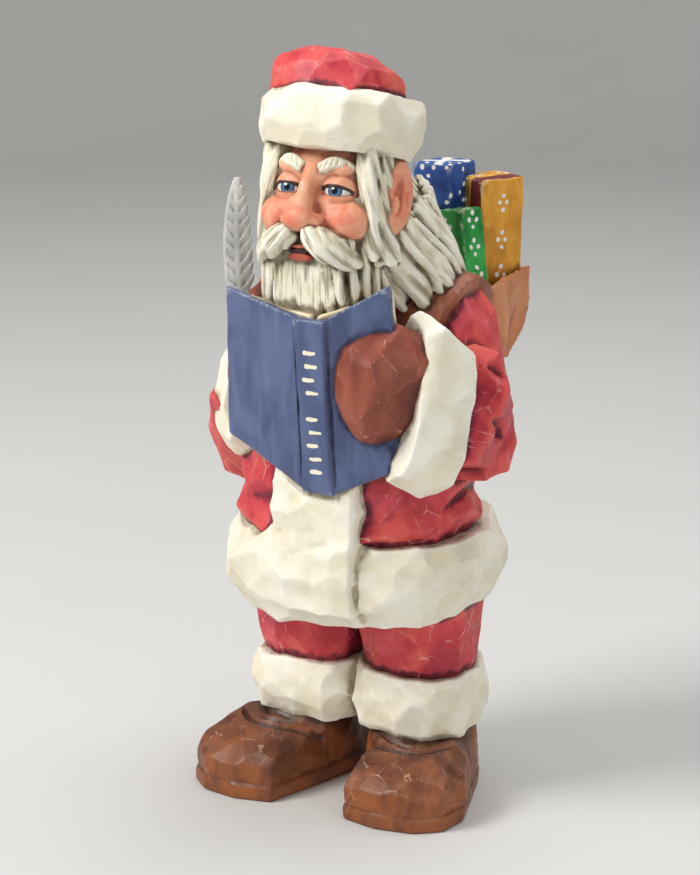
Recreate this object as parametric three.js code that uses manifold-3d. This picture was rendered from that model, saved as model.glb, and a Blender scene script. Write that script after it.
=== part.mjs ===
// A hand-carved and painted wooden Santa figurine: he stands in big boots, reads from an open book
// that he holds in both mittens, and carries a sack of presents on his back.
// The figure, with its book, sack and presents, is one block of wood, worked in flat knife cuts.
// The feather pen in his right hand is a second piece, let into a hole in the mitten.
// Units are millimetres. +Z is up, the figure faces -Y, and his left hand is towards +X.
// While it is worked out, the origin is on the ground between his ankles.
import * as THREE from "three";
import { ConvexGeometry } from "three/addons/geometries/ConvexGeometry.js";
import { mergeVertices } from "three/addons/utils/BufferGeometryUtils.js";
import Module from "manifold-3d";

const wasm = await Module();
wasm.setup();

const degrees = THREE.MathUtils.degToRad;
const lerp = THREE.MathUtils.lerp;
const vec = (x, y, z) => new THREE.Vector3(x, y, z);
const list = (count, make) => Array.from({ length: count }, (_, i) => make(i));

// Driving dimensions
const SOLE = { thickness: 5.5, welt: 1 };
const BOOT_TOP = 31;
const ANKLE = { x: 20, y: 4 };
const CUFF = { low: 23.5, high: 44.5, halfWidth: 20.5, halfDepth: 21 };
const HEM = { low: 66.5, high: 95.5, halfWidth: 46, halfDepth: 43.5 };
const BELLY = { y: -4.5, low: 92, high: 126, halfWidth: 40, halfDepth: 37 };
const CHEST = { y: 2, high: 178, halfWidth: 35, halfDepth: 29 };
const BAND = { right: -12.5, left: 19.8, front: -45.5, high: 122 };
const HEAD = { y: -17, z: 205, tilt: degrees(13), halfWidth: 20, halfDepth: 21.5, halfHeight: 31 };
const HAT_BAND = { y: -4.6, low: 14.5, high: 34, halfWidth: 25.4 };
const SACK = { x: 2, y: 39, low: 104, rim: 172, halfWidth: 31, halfDepth: 22 };
const FIT_GAP = 0.3;

// A repeatable random number from -1 to 1
function jitter(i, j, seed) {
  const wave = Math.sin(i * 127.1 + j * 311.7 + seed * 74.7) * 43758.5453;
  return 2 * (wave - Math.floor(wave)) - 1;
}

// Solids from points

function solid(geometry) {
  const bare = new THREE.BufferGeometry();
  bare.setAttribute("position", geometry.getAttribute("position").clone());
  const merged = mergeVertices(bare, 1e-4);
  const mesh = new wasm.Mesh({
    numProp: 3,
    vertProperties: merged.attributes.position.array,
    triVerts: new Uint32Array(merged.index.array),
  });
  return new wasm.Manifold(mesh);
}

const hull = (points) => solid(new ConvexGeometry(points));
const joined = (solids) => solids.reduce((whole, next) => whole.add(next));

// A closed skin through rings of equal point count, with a flat fan on each end
function skin(rings) {
  const around = rings[0].length;
  const corners = [];
  const face = (a, b, c) => corners.push(a, b, c);
  for (let r = 0; r + 1 < rings.length; r++) {
    for (let i = 0; i < around; i++) {
      const k = (i + 1) % around;
      face(rings[r][i], rings[r][k], rings[r + 1][k]);
      face(rings[r][i], rings[r + 1][k], rings[r + 1][i]);
    }
  }
  const [first, last] = [rings[0], rings[rings.length - 1]];
  const middle = (ring) => ring.reduce((sum, p) => sum.add(p), vec(0, 0, 0)).divideScalar(around);
  for (let i = 0; i < around; i++) {
    const k = (i + 1) % around;
    face(middle(first), first[k], first[i]);
    face(middle(last), last[i], last[k]);
  }
  const volume = list(corners.length / 3, (i) => {
    const [a, b, c] = corners.slice(3 * i, 3 * i + 3);
    return a.dot(b.clone().cross(c));
  }).reduce((sum, part) => sum + part);
  if (volume < 0) corners.reverse();
  return solid(new THREE.BufferGeometry().setFromPoints(corners));
}

// The block left by flat cuts, each with a point that it passes through and its outward normal
function cutBlock(cuts) {
  const centre = cuts.reduce((sum, cut) => sum.add(cut.point), vec(0, 0, 0));
  centre.divideScalar(cuts.length);
  const poles = cuts.map(({ point, normal }) =>
    normal.clone().divideScalar(normal.dot(point.clone().sub(centre))),
  );
  const faces = new ConvexGeometry(poles).getAttribute("position");
  const corners = new Map();
  for (let i = 0; i < faces.count; i += 3) {
    const [a, b, c] = [0, 1, 2].map((k) => vec().fromBufferAttribute(faces, i + k));
    const normal = b.clone().sub(a).cross(c.clone().sub(a)).normalize();
    const corner = normal.divideScalar(normal.dot(a)).add(centre);
    corners.set(corner.toArray().map((value) => value.toFixed(2)).join(), corner);
  }
  return hull([...corners.values()]);
}

// An egg with flat facets; more detail gives more of them
function egg(centre, [halfWidth, halfDepth, halfHeight], detail, placed) {
  const ball = new THREE.IcosahedronGeometry(1, detail);
  ball.scale(halfWidth, halfDepth, halfHeight).translate(...centre);
  if (placed) ball.applyMatrix4(placed);
  return solid(ball);
}

// Barrels: a stack of levels [height, x, y, half width, half depth]

function catmullRom(t, p0, p1, p2, p3) {
  const cubic = 3 * p1 - p0 - 3 * p2 + p3;
  const square = 2 * p0 - 5 * p1 + 4 * p2 - p3;
  return 0.5 * (2 * p1 + (p2 - p0) * t + square * t ** 2 + cubic * t ** 3);
}

function levelAt(levels, height) {
  const last = levels.length - 1;
  let i = 0;
  while (i < last - 1 && height > levels[i + 1][0]) i++;
  const t = (height - levels[i][0]) / (levels[i + 1][0] - levels[i][0]);
  const near = [levels[Math.max(i - 1, 0)], levels[i], levels[i + 1], levels[Math.min(i + 2, last)]];
  return levels[0].map((_, k) => catmullRom(t, ...near.map((level) => level[k])));
}

// A point on the barrel at an angle round it, where 0 is his left side and -90 degrees the front;
// square is 2 for a round section and more for a boxy one
function barrelPoint(levels, angle, height, square) {
  const [, x, y, halfWidth, halfDepth] = levelAt(levels, height);
  const bend = (value) => Math.sign(value) * Math.abs(value) ** (2 / square);
  return vec(x + halfWidth * bend(Math.cos(angle)), y + halfDepth * bend(Math.sin(angle)), height);
}

function barrelCut(levels, angle, height, square) {
  const step = 0.02;
  const point = barrelPoint(levels, angle, height, square);
  const along = barrelPoint(levels, angle + step, height, square).sub(point);
  const up = barrelPoint(levels, angle, height + step, square).sub(point);
  return { point, normal: along.cross(up).normalize() };
}

// A barrel cut flat in rows of irregular facets, with one more cut across each end
function carved(levels, { rows = 3, columns = 10, seed = 1, square = 2.4, rough = 0.3, placed } = {}) {
  const [low, high] = [levels[0][0], levels[levels.length - 1][0]];
  const cuts = [];
  for (let row = 0; row < rows; row++) {
    for (let column = 0; column < columns; column++) {
      const shift = row % 2 ? 0.5 : 0;
      const around = column + shift + rough * jitter(row, column, seed);
      const rise = row + 0.5 + rough * jitter(column, row, seed + 5);
      const height = lerp(low, high, rise / rows);
      cuts.push(barrelCut(levels, (around * 2 * Math.PI) / columns, height, square));
    }
  }
  const end = (level, side) => {
    const point = vec(level[1], level[2], level[0]);
    const lean = 0.05;
    const normal = vec(lean * jitter(1, seed, side), lean * jitter(2, seed, side), side).normalize();
    cuts.push({ point, normal });
  };
  end(levels[0], -1);
  end(levels[levels.length - 1], 1);
  if (placed) {
    cuts.forEach(({ point, normal }) => {
      point.applyMatrix4(placed);
      normal.transformDirection(placed);
    });
  }
  return cutBlock(cuts);
}

// The place of something that runs from one point to another, with +X of its own towards side
function along(from, to, side = vec(1, 0, 0)) {
  const z = to.clone().sub(from).normalize();
  const y = z.clone().cross(side).normalize();
  const x = y.clone().cross(z);
  return new THREE.Matrix4().makeBasis(x, y, z).setPosition(from);
}

// A V cut of the knife along a curve. Out gives the direction away from the wood at each point.
function veined(points, out, width, depth) {
  const curve = new THREE.CatmullRomCurve3(points);
  const steps = 2 * points.length;
  const rings = list(steps + 1, (i) => {
    const t = i / steps;
    const p = curve.getPoint(t);
    const away = out(p).normalize();
    const side = curve.getTangent(t).cross(away).normalize();
    const fade = 0.25 + 0.75 * Math.sin(Math.PI * t) ** 0.7;
    const lift = 2.4;
    const reach = (width / 2) * (1 + lift / depth) * fade;
    return [
      p.clone().addScaledVector(away, lift).addScaledVector(side, reach),
      p.clone().addScaledVector(away, lift).addScaledVector(side, -reach),
      p.clone().addScaledVector(away, -depth * fade),
    ];
  });
  return skin(rings);
}

// A chip cut: a leaf-shaped hollow from one point to another, deepest at its middle
function chip(from, to, away, width, depth) {
  const middle = from.clone().lerp(to, 0.45);
  const out = away.clone().normalize();
  const side = to.clone().sub(from).cross(out).setLength(width / 2);
  const rise = 3;
  const up = (p, height) => p.clone().addScaledVector(out, height);
  const wide = 1 + rise / depth;
  return hull([
    up(from, -0.4), up(to, -0.4), up(from, rise), up(to, rise), up(middle, -depth),
    up(middle, rise).addScaledVector(side, wide), up(middle, rise).addScaledVector(side, -wide),
  ]);
}

// A tapered lock of hair with a flat slanting top
function lock(points, out, width, height, steps = 4) {
  const curve = new THREE.CatmullRomCurve3(points);
  const rings = list(steps + 1, (i) => {
    const t = i / steps;
    const p = curve.getPoint(t);
    const away = out(p).normalize();
    const side = curve.getTangent(t).cross(away).normalize();
    const swell = 0.12 + 0.88 * Math.sin(Math.PI * Math.min(1, 0.25 + 0.75 * t)) ** 0.8;
    const [w, h] = [(width / 2) * swell, height * swell];
    const at = (a, b) => p.clone().addScaledVector(side, a * w).addScaledVector(away, b * h);
    return [at(1, -0.8), at(0.45, 1), at(-0.45, 0.75), at(-1, -0.8)];
  });
  return skin(rings);
}

// Boots

// The outline of his left boot at the ground, from the heel round by the toe; the right one mirrors it
const BOOT_OUTLINE = [
  [33, 21.5], [38.2, 14], [45, -6], [51, -22], [49.3, -34.5], [41, -41.5],
  [27, -44], [13.8, -41], [9.5, -24], [4.5, -3], [3.2, 12], [8.5, 21.5], [20, 24],
];

function bootRing(side, height, { inset = 0, front = 0, pinch = 1, seed = 1 }) {
  return BOOT_OUTLINE.map(([x, y], i) => {
    const middle = 24;
    const inward = vec(middle - x, -y - 8, 0).normalize().multiplyScalar(inset);
    const drawn = y < 0 ? y * (1 - front) : y;
    const wobble = 0.35 * jitter(i, height, seed);
    const across = middle + (x - middle) * pinch + inward.x + wobble;
    return vec(side * across, drawn + inward.y, height);
  });
}

function boot(side) {
  const seed = side + 4;
  const sole = hull([
    ...bootRing(side, 0, { inset: 0.6, seed }),
    ...bootRing(side, SOLE.thickness * 0.75, { seed }),
    ...bootRing(side, SOLE.thickness, { inset: 0.5, seed }),
  ]);
  const toe = hull([
    ...bootRing(side, SOLE.thickness - 0.6, { inset: 1.9, seed }),
    ...bootRing(side, 13, { inset: SOLE.welt, front: 0.01, seed: seed + 1 }),
    ...bootRing(side, 16.5, { inset: 2.5, front: 0.12, seed: seed + 2 }),
    ...bootRing(side, 21.5, { inset: 5, front: 0.42, pinch: 0.93, seed: seed + 3 }),
  ]);
  const ankle = along(
    vec(side * (ANKLE.x + 3), ANKLE.y - 4.5, SOLE.thickness + 1.5),
    vec(side * ANKLE.x, ANKLE.y, BOOT_TOP),
  );
  const instep = carved(
    [[0, 0, 0, 16.5, 24], [8, 0, 1, 17, 23], [17, 0, 2, 16, 19.5], [25, 0, 1.5, 15, 16.5]],
    { rows: 2, columns: 8, seed, square: 2.5, placed: ankle },
  );
  return joined([sole, toe, instep]);
}

// Legs, cuffs and hem

function leg(side) {
  const { x, y } = ANKLE;
  const levels = [
    [BOOT_TOP, side * x, y, 16, 16.5],
    [48, side * x, y - 1, 18.4, 19],
    [60, side * x, y - 2, 19.8, 21.5],
    [74, side * x, y - 1, 20, 23],
  ];
  const block = carved(levels, { rows: 3, columns: 8, seed: 11 + side, square: 2.5 });
  const inner = chip(vec(side * 3, -22, 64), vec(side * 20, -24, 51), vec(0, -1, 0.2), 6, 2.6);
  const outer = chip(vec(side * 41, -8, 62), vec(side * 33, -19, 50), vec(side, -0.7, 0.1), 5, 1.8);
  return block.subtract(inner).subtract(outer);
}

function trouserCuff(side) {
  const { low, high, halfWidth, halfDepth } = CUFF;
  const [x, y] = [side * ANKLE.x, ANKLE.y - 1];
  const levels = [
    [low, x, y, halfWidth - 1.2, halfDepth - 1.2],
    [lerp(low, high, 0.35), x, y, halfWidth + 0.6, halfDepth + 0.6],
    [lerp(low, high, 0.75), x, y, halfWidth + 0.5, halfDepth + 0.5],
    [high, x, y, halfWidth - 1, halfDepth - 1],
  ];
  return carved(levels, { rows: 3, columns: 10, seed: 21 + side, square: 2.7, rough: 0.36 });
}

function hem() {
  const { low, high, halfWidth, halfDepth } = HEM;
  const levels = [
    [low, 0, 0, halfWidth - 6, halfDepth - 5],
    [low + 6, 0, 0, halfWidth - 1.5, halfDepth - 1.5],
    [low + 14, 0, 0, halfWidth, halfDepth],
    [high - 5, 0, 0, halfWidth - 1.5, halfDepth - 1.5],
    [high, 0, 0, halfWidth - 4.5, halfDepth - 4.5],
  ];
  return carved(levels, { rows: 3, columns: 14, seed: 31, square: 2.35, rough: 0.36 });
}

// Coat

// Two rolls of cloth, one hanging over the other, leave the deep fold above the hem
function belly() {
  const { y, low, high, halfWidth, halfDepth } = BELLY;
  const fold = 106;
  const lower = carved(
    [
      [low, 0, y, halfWidth - 4, halfDepth - 3.5], [low + 5, 0, y, halfWidth - 0.5, halfDepth],
      [low + 10, 0, y, halfWidth, halfDepth - 0.5], [fold + 4, 0, y, halfWidth - 5, halfDepth - 5],
    ],
    { rows: 3, columns: 12, seed: 41, square: 2.3, rough: 0.36 },
  );
  const upper = carved(
    [
      [fold - 3, 0, y + 1, halfWidth - 5, halfDepth - 4.5],
      [fold + 3, 0, y + 1, halfWidth - 2, halfDepth - 2],
      [high - 6, 0, y + 2, halfWidth - 2, halfDepth - 2],
      [high + 12, 0, y + 3, halfWidth - 8, halfDepth - 8],
    ],
    { rows: 3, columns: 9, seed: 45, square: 2.3, rough: 0.36 },
  );
  return lower.add(upper);
}

function chest() {
  const { y, high, halfWidth, halfDepth } = CHEST;
  const levels = [
    [118, 0, y, halfWidth, halfDepth],
    [145, 0, y, halfWidth + 1, halfDepth],
    [162, 0, y, halfWidth, halfDepth - 3],
    [high, 0, y + 1, halfWidth - 12, halfDepth - 10],
  ];
  return carved(levels, { rows: 3, columns: 8, seed: 51, square: 2.6 });
}

// The fur edge down the front: one flap, from under the book to the foot of the hem, where it runs on
// into the hem on his right
function frontBand() {
  const { left, right, front, high } = BAND;
  const merge = -24;
  const profile = [
    [HEM.low - 0.3, 7, 1], [HEM.low + 5.5, 1.6, 1], [HEM.low + 15, -0.2, 1], [HEM.high - 5, 0.8, 1],
    [HEM.high - 0.5, 2.6, 0.55], [HEM.high + 4, 2.2, 0], [106, 1.4, 0], [high, 3.2, 0],
  ];
  const rings = profile.map(([z, back, blend], i) => {
    const turn = 1.5;
    const wave = 0.35 * jitter(i, 3, 7);
    const face = front + back;
    const edge = lerp(right, merge, blend);
    const sunk = face + 4.4 * blend;
    return [
      vec(edge + 0.5, face + 16, z), vec(edge - 0.4, sunk + 4.5, z), vec(edge + turn, sunk + 1.2, z),
      vec(lerp(right, left, 0.2), face + 0.2 - wave, z), vec(lerp(right, left, 0.6), face - 0.4 + wave, z),
      vec(left - turn, face + 0.6 - wave, z), vec(left, face + 2.4, z), vec(left - 0.5, face + 16, z),
    ];
  });
  return skin(rings);
}

// The cut beside the flap, where the hem's other end comes from behind it
function frontSeam() {
  const x = BAND.left + 0.6;
  const points = [HEM.low - 2, 74, 84, 93, 101].map((z) => vec(x, BAND.front + 1.8, z));
  return veined(points, () => vec(0.25, -1, 0), 2.6, 3.2);
}

// Arms. His left hand holds the open book from outside, and the right one, behind it, holds the pen.

const ARMS = [
  {
    side: 1,
    shoulder: vec(31, 5, 164),
    elbow: vec(39.5, 1, 129),
    cuff: { back: vec(45.5, -15, 139.5), front: vec(34.5, -30.5, 144), halfHeight: 27.5 },
    hand: vec(20.5, -47, 154),
    grip: 1,
  },
  {
    side: -1,
    shoulder: vec(-31, 5, 164),
    elbow: vec(-45, 0, 120),
    cuff: { back: vec(-39.5, -6, 135), front: vec(-30, -18, 140), halfHeight: 23 },
    hand: vec(-25, -29.5, 158),
    grip: 0.86,
  },
];

function sleeve({ side, shoulder, elbow, cuff }) {
  const outward = vec(side, 0, 0);
  const upper = carved(
    [[-10, 0, 0, 8, 9], [2, 0, 0, 13, 14], [22, 0, 0, 13.5, 15.5], [40, 0, 0, 13.5, 15.5], [51, 0, 0, 9, 11]],
    { rows: 3, columns: 7, seed: 61 + side, placed: along(shoulder, elbow, outward) },
  );
  const reach = elbow.distanceTo(cuff.back);
  const lower = carved(
    [[-14, 0, 0, 9, 11], [-5, 0, 0, 12.5, 14.5], [reach * 0.6, 0, 0, 13, 18], [reach + 5, 0, 0, 12.5, 21]],
    { rows: 2, columns: 7, seed: 65 + side, placed: along(elbow, cuff.back, outward) },
  );
  const chips = [
    [[47, -14, 160], [55, 6, 147], [1, -0.25, 0.2], 8, 4.5],
    [[54, -13, 137], [57, -1, 121], [1, -0.35, 0], 8, 4],
  ].map(([from, to, away, width, depth]) => {
    const [a, b, out] = [from, to, away].map(([x, y, z]) => vec(side * x, y, z));
    return chip(a, b, out, width, depth);
  });
  return chips.reduce((whole, hollow) => whole.subtract(hollow), joined([upper, lower]));
}

function sleeveCuff({ side, cuff }) {
  const { back, front, halfHeight } = cuff;
  const length = back.distanceTo(front);
  const levels = [
    [0, 0, 0, 12.5, halfHeight - 2], [length * 0.3, 0, 0, 14, halfHeight + 0.5],
    [length * 0.75, 0, 0, 13.5, halfHeight], [length, 0, 0, 12, halfHeight - 2.5],
  ];
  const placed = along(back, front, vec(side, 0, 0));
  return carved(levels, { rows: 3, columns: 9, seed: 71 + side, square: 2.5, rough: 0.3, placed });
}

function mitten({ side, cuff, hand, grip }) {
  const placed = along(cuff.front, hand, vec(side, 0, 0));
  const size = ([height, x, halfWidth, halfHeight]) =>
    [height, x, 0, halfWidth * grip, halfHeight * grip];
  const levels = [[-3, 0, 9, 14], [5, 0, 10, 16.2], [14, 0, 10, 16], [21, 0, 8.5, 12.5], [25, 0, 5.5, 8.5]];
  const palm = carved(
    levels.map(size),
    { rows: 3, columns: 8, seed: 81 + side, square: 2.5, rough: 0.32, placed },
  );
  const root = hand.clone().add(vec(side * 6, 10, 8));
  const thumb = carved(
    [[0, 0, 0, 6, 6], [9, 0, 0, 6, 6], [17, 0, 0, 4, 4]],
    { rows: 2, columns: 6, seed: 85 + side, placed: along(root, root.clone().add(vec(side * -7, 2, 5))) },
  );
  return palm.add(thumb);
}

// Book: two covers that rise away from the spine, a raised spine, and the pages behind

const BOOK = {
  spine: { top: vec(6.4, -49.5, 171), bottom: vec(8, -46.5, 113), halfWidth: 6.2, thickness: 4 },
  cover: 3,
  leftTop: vec(30.8, -40.5, 183),
  leftBottom: vec(36.2, -38.5, 123.5),
  rightTop: vec(-29.4, -41.5, 177.3),
  rightBottom: vec(-30.5, -39, 127.5),
};

function book() {
  const { spine, cover } = BOOK;
  const slab = (corners, front, back) =>
    hull(corners.flatMap((p) => [p.clone().add(vec(0, front, 0)), p.clone().add(vec(0, back, 0))]));
  const inner = (p, side, drop = 0) => p.clone().add(vec(side * (spine.halfWidth - 1.5), 1.2, drop));
  const leaf = (side, top, bottom) =>
    slab([inner(spine.top, side), inner(spine.bottom, side), top, bottom], 0, cover);
  const pages = (side, top, bottom) => {
    const short = 3;
    const pull = (p, drop) => p.clone().lerp(drop > 0 ? spine.bottom : spine.top, 0.1).add(vec(0, 0, drop));
    return slab(
      [
        inner(spine.top, side * 0.2, -1), inner(spine.bottom, side * 0.2, short),
        pull(top, -short), pull(bottom, short),
      ],
      cover - 0.5,
      cover + 7,
    );
  };
  const back = slab(
    [-1, 1].flatMap((side) =>
      [spine.top, spine.bottom].map((p) => p.clone().add(vec(side * spine.halfWidth, 0, 0))),
    ),
    0,
    spine.thickness,
  );
  return joined([
    leaf(1, BOOK.leftTop, BOOK.leftBottom),
    leaf(-1, BOOK.rightTop, BOOK.rightBottom),
    pages(1, BOOK.leftTop, BOOK.leftBottom),
    pages(-1, BOOK.rightTop, BOOK.rightBottom),
    back,
  ]);
}

// Head. Everything from here to the hat is worked out in the head's own frame, where the origin is
// the middle of the skull, and then set in place and leaned back.

const HEAD_PLACE = new THREE.Matrix4()
  .makeRotationX(-HEAD.tilt)
  .setPosition(0, HEAD.y, HEAD.z);

const inPlace = (p) => p.clone().applyMatrix4(HEAD_PLACE);

// Which way is outward from the middle of the head
const fromHead = (p) => p.clone().sub(inPlace(vec(0, 0, -2)));

function headLock(side, points, width, height, steps) {
  return lock(points.map(([x, y, z]) => inPlace(vec(side * x, y, z))), fromHead, width, height, steps);
}

// The face has everyday proportions: the eyes at half the height of the head, and about the same
// distance from hairline to brow, from brow to nose and from nose to chin
const EYE = { x: 8.8, z: 1.4 };
const NOSE = { tip: -8.2, halfWidth: 4.8 };

function eye(side) {
  const { x, z } = EYE;
  const ball = egg([side * x, -16.6, z], [4.7, 4.4, 4.1], 1, HEAD_PLACE);
  const over = [[4.3, -19.4, z], [8.6, -21.4, z + 2.9], [13.6, -17, z - 0.2]];
  const under = [[4.5, -19.2, z - 0.6], [8.8, -20.6, z - 2.8], [13.4, -16.9, z - 0.6]];
  const upper = headLock(side, over, 2.8, 1, 3);
  const lower = headLock(side, under, 2.4, 0.8, 3);
  return joined([ball, upper, lower]);
}

function nose() {
  const { tip, halfWidth } = NOSE;
  const bridge = hull([
    [2.6, -19, 8], [1.7, -22, 6.5], [1.5, -22.6, 2.5], [2.4, -26, -4], [3, -28, tip], [5.2, -19, -4],
  ].flatMap(([x, y, z]) => [inPlace(vec(x, y, z)), inPlace(vec(-x, y, z))]));
  const end = egg([0, -24.6, tip], [halfWidth + 0.3, 5.2, 4.6], 1, HEAD_PLACE);
  const wings = [-1, 1].map((side) =>
    egg([side * (halfWidth + 0.2), -22.6, tip - 1.1], [3, 3.7, 2.9], 0, HEAD_PLACE),
  );
  return joined([bridge, end, ...wings]);
}

function eyebrow(side) {
  return headLock(side, [[3.2, -20, 8], [9, -18.8, 10.2], [15.8, -14, 7.6]], 5, 2.8, 3);
}

function face() {
  const { halfWidth, halfDepth, halfHeight } = HEAD;
  const skull = egg([0, 0, 0], [halfWidth, halfDepth, halfHeight], 2, HEAD_PLACE);
  const socket = (side) => egg([side * (EYE.x - 0.2), -21.8, EYE.z + 0.6], [6.4, 4.6, 4.8], 1, HEAD_PLACE);
  const cheek = (side) => egg([side * 10.8, -12.6, -7.4], [9.2, 9.4, 8], 1, HEAD_PLACE);
  const hollow = skull.subtract(socket(-1)).subtract(socket(1));
  const mouth = egg([0, -24, -19.4], [4.6, 5, 2.4], 1, HEAD_PLACE);
  const lip = egg([0, -21.4, -22.2], [4.8, 3.6, 1.9], 1, HEAD_PLACE);
  const features = [-1, 1].flatMap((side) => [cheek(side), eye(side), eyebrow(side)]);
  return { flesh: joined([hollow, nose(), ...features]), mouth, lip };
}

function ear(side) {
  const rim = list(8, (i) => {
    const angle = (i * Math.PI) / 4;
    const narrow = Math.sin(angle) < 0 ? 0.72 : 1;
    return [6.6 * Math.cos(angle) * narrow, 12.5 * Math.sin(angle)];
  });
  const place = new THREE.Matrix4().makeRotationZ(side * degrees(24)).setPosition(side * 23, -3.6, 0.5);
  const plate = (scale, depths) =>
    hull(depths.flatMap((depth) => rim.map(([y, z]) =>
      inPlace(vec(side * depth, y * scale, z * scale).applyMatrix4(place)),
    )));
  return plate(1, [-4, 3.4]).subtract(plate(0.62, [2, 6]));
}

function hatBand() {
  const { y, low, high, halfWidth } = HAT_BAND;
  const levels = [
    [low, 0, y, halfWidth - 2.4, halfWidth - 2.6],
    [lerp(low, high, 0.25), 0, y, halfWidth + 0.4, halfWidth + 0.2],
    [lerp(low, high, 0.75), 0, y, halfWidth, halfWidth],
    [high, 0, y, halfWidth - 3.2, halfWidth - 3.2],
  ];
  return carved(levels, { rows: 3, columns: 12, seed: 91, square: 2.25, rough: 0.34, placed: HEAD_PLACE });
}

// The crown of the hat stands up at the front, falls away behind, and ends in a ball of fur
function crown() {
  const top = carved(
    [[27, -1, -5, 22, 22], [38, -2, -6, 21.2, 21], [43.5, -4, -8, 16.5, 15.5], [47.6, -4.5, -9, 8.5, 8]],
    { rows: 3, columns: 9, seed: 101, placed: HEAD_PLACE },
  );
  const tail = carved(
    [[-4, 0, 0, 10, 6], [12, 0, 0, 10, 8], [30, 0, 0, 7, 6]],
    { rows: 2, columns: 7, seed: 105, placed: along(inPlace(vec(-1, 12, 33)), inPlace(vec(0, 27, 8))) },
  );
  const ball = egg([0, 29, -4], [8.5, 8.5, 8.5], 1, HEAD_PLACE);
  return joined([top, tail, ball]);
}

// Hair: a mass down to the shoulders, with locks laid on it

const HAIR = [
  [164, 0, 2, 30, 19],
  [172, 0, 1, 34, 24],
  [184, 0, -2, 32, 25],
  [194, 0, -6, 27.5, 24.6],
  [203, 0, -7, 23.5, 22.5],
  [214, 0, -9, 23.4, 22],
  [226, 0, -10, 22.8, 21],
];
const HAIR_SQUARE = 2.2;

const hairPoint = (turn, height) => barrelPoint(HAIR, degrees(turn), height, HAIR_SQUARE);

function hair() {
  const mass = carved(HAIR, { rows: 4, columns: 9, seed: 111, square: HAIR_SQUARE });
  const paths = [
    [-60, 199, -38, 177, 8.5, 2.6], [-66, 190, -44, 166, 9.5, 2.8], [-44, 195, -22, 173, 10, 2.8],
    [-26, 194, -4, 171, 10, 2.8], [-14, 202, 16, 174, 10, 2.6], [6, 206, 36, 177, 11, 2.4],
    [34, 208, 64, 180, 12, 2.2],
  ];
  const locks = [-1, 1].flatMap((side) =>
    paths.map(([turn0, z0, turn1, z1, width, height], k) => {
      const points = list(4, (i) => {
        const t = i / 3;
        const sway = 3 * Math.sin(Math.PI * t) * jitter(k, side, 3);
        const p = hairPoint(lerp(turn0, turn1, t) + sway, lerp(z0, z1, t ** 1.15));
        return vec(side * p.x, p.y, p.z);
      });
      return lock(points, (p) => vec(p.x, p.y + 4, 6), width, height, 3);
    }),
  );
  const sideburns = [-1, 1].map((side) => {
    const points = [[18.5, -14, 19], [20.8, -12.5, 6], [21.8, -9, -4], [22.4, -5, -12]];
    const placed = points.map(([x, y, z]) => inPlace(vec(side * x, y, z)));
    return lock(placed, (p) => vec(p.x, -8, 0), 9, 2.6, 3);
  });
  return joined([mass, ...locks, ...sideburns]);
}

// Beard: flutes that fan out from under the lip
function beard() {
  const flutes = 12;
  const perFlute = 2;
  const levels = [
    [-10, -6, 17, 14.5], [-17, -7, 18.4, 17.2], [-31, -4.4, 18.8, 16.6], [-47, 0, 17.5, 15.4],
  ];
  const rings = levels.map(([z, y, halfWidth, halfDepth], row) => {
    const front = list(flutes * perFlute + 1, (i) => {
      const wander = 0.25 * jitter(Math.floor(i / perFlute), row, 9);
      const angle = degrees(lerp(-112, 112, (i + wander) / (flutes * perFlute)));
      const cut = i % perFlute === 0 ? 1.5 : 0;
      const full = 0.5 * jitter(i, row, 13);
      return inPlace(vec(
        (halfWidth - cut + full) * Math.sin(angle),
        y - (halfDepth - cut + full) * Math.cos(angle),
        z,
      ));
    });
    return [...front, inPlace(vec(0, y + 14, z))];
  });
  return skin(rings);
}

// Moustache: two plump lobes that leave a gap for the mouth, each with deep slanting cuts
function moustache() {
  const lobe = (side) => {
    const levels = [
      [0.6, -22.4, -13.8, 2], [4, -23.4, -15.4, 4.2], [9, -22.6, -17.4, 5.2], [14, -19, -19.8, 4.6],
      [17.6, -15.4, -22, 1.8],
    ];
    const rings = levels.map(([x, y, z, radius], row) => list(6, (i) => {
      const angle = (i * Math.PI) / 3;
      const reach = radius * (1 + 0.06 * jitter(i, row, 17));
      return inPlace(vec(side * (x - 0.3 * reach * Math.sin(angle)), y - reach * Math.cos(angle),
        z + reach * Math.sin(angle)));
    }));
    const cuts = list(2, (k) => {
      const from = inPlace(vec(side * (4 + 3.5 * k), -27.4 + 0.8 * k, -14.6 - 0.6 * k));
      const to = inPlace(vec(side * (9.5 + 3.6 * k), -26.4 + 3 * k, -20.4 - 0.6 * k));
      return chip(from, to, fromHead(from), 1.7, 1.2);
    });
    return cuts.reduce((whole, hollow) => whole.subtract(hollow), skin(rings));
  };
  return lobe(-1).add(lobe(1));
}

function head() {
  const { flesh, mouth, lip } = face();
  return joined([flesh, beard()]).subtract(mouth).add(lip).add(moustache());
}

// Sack, strap and presents

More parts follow.
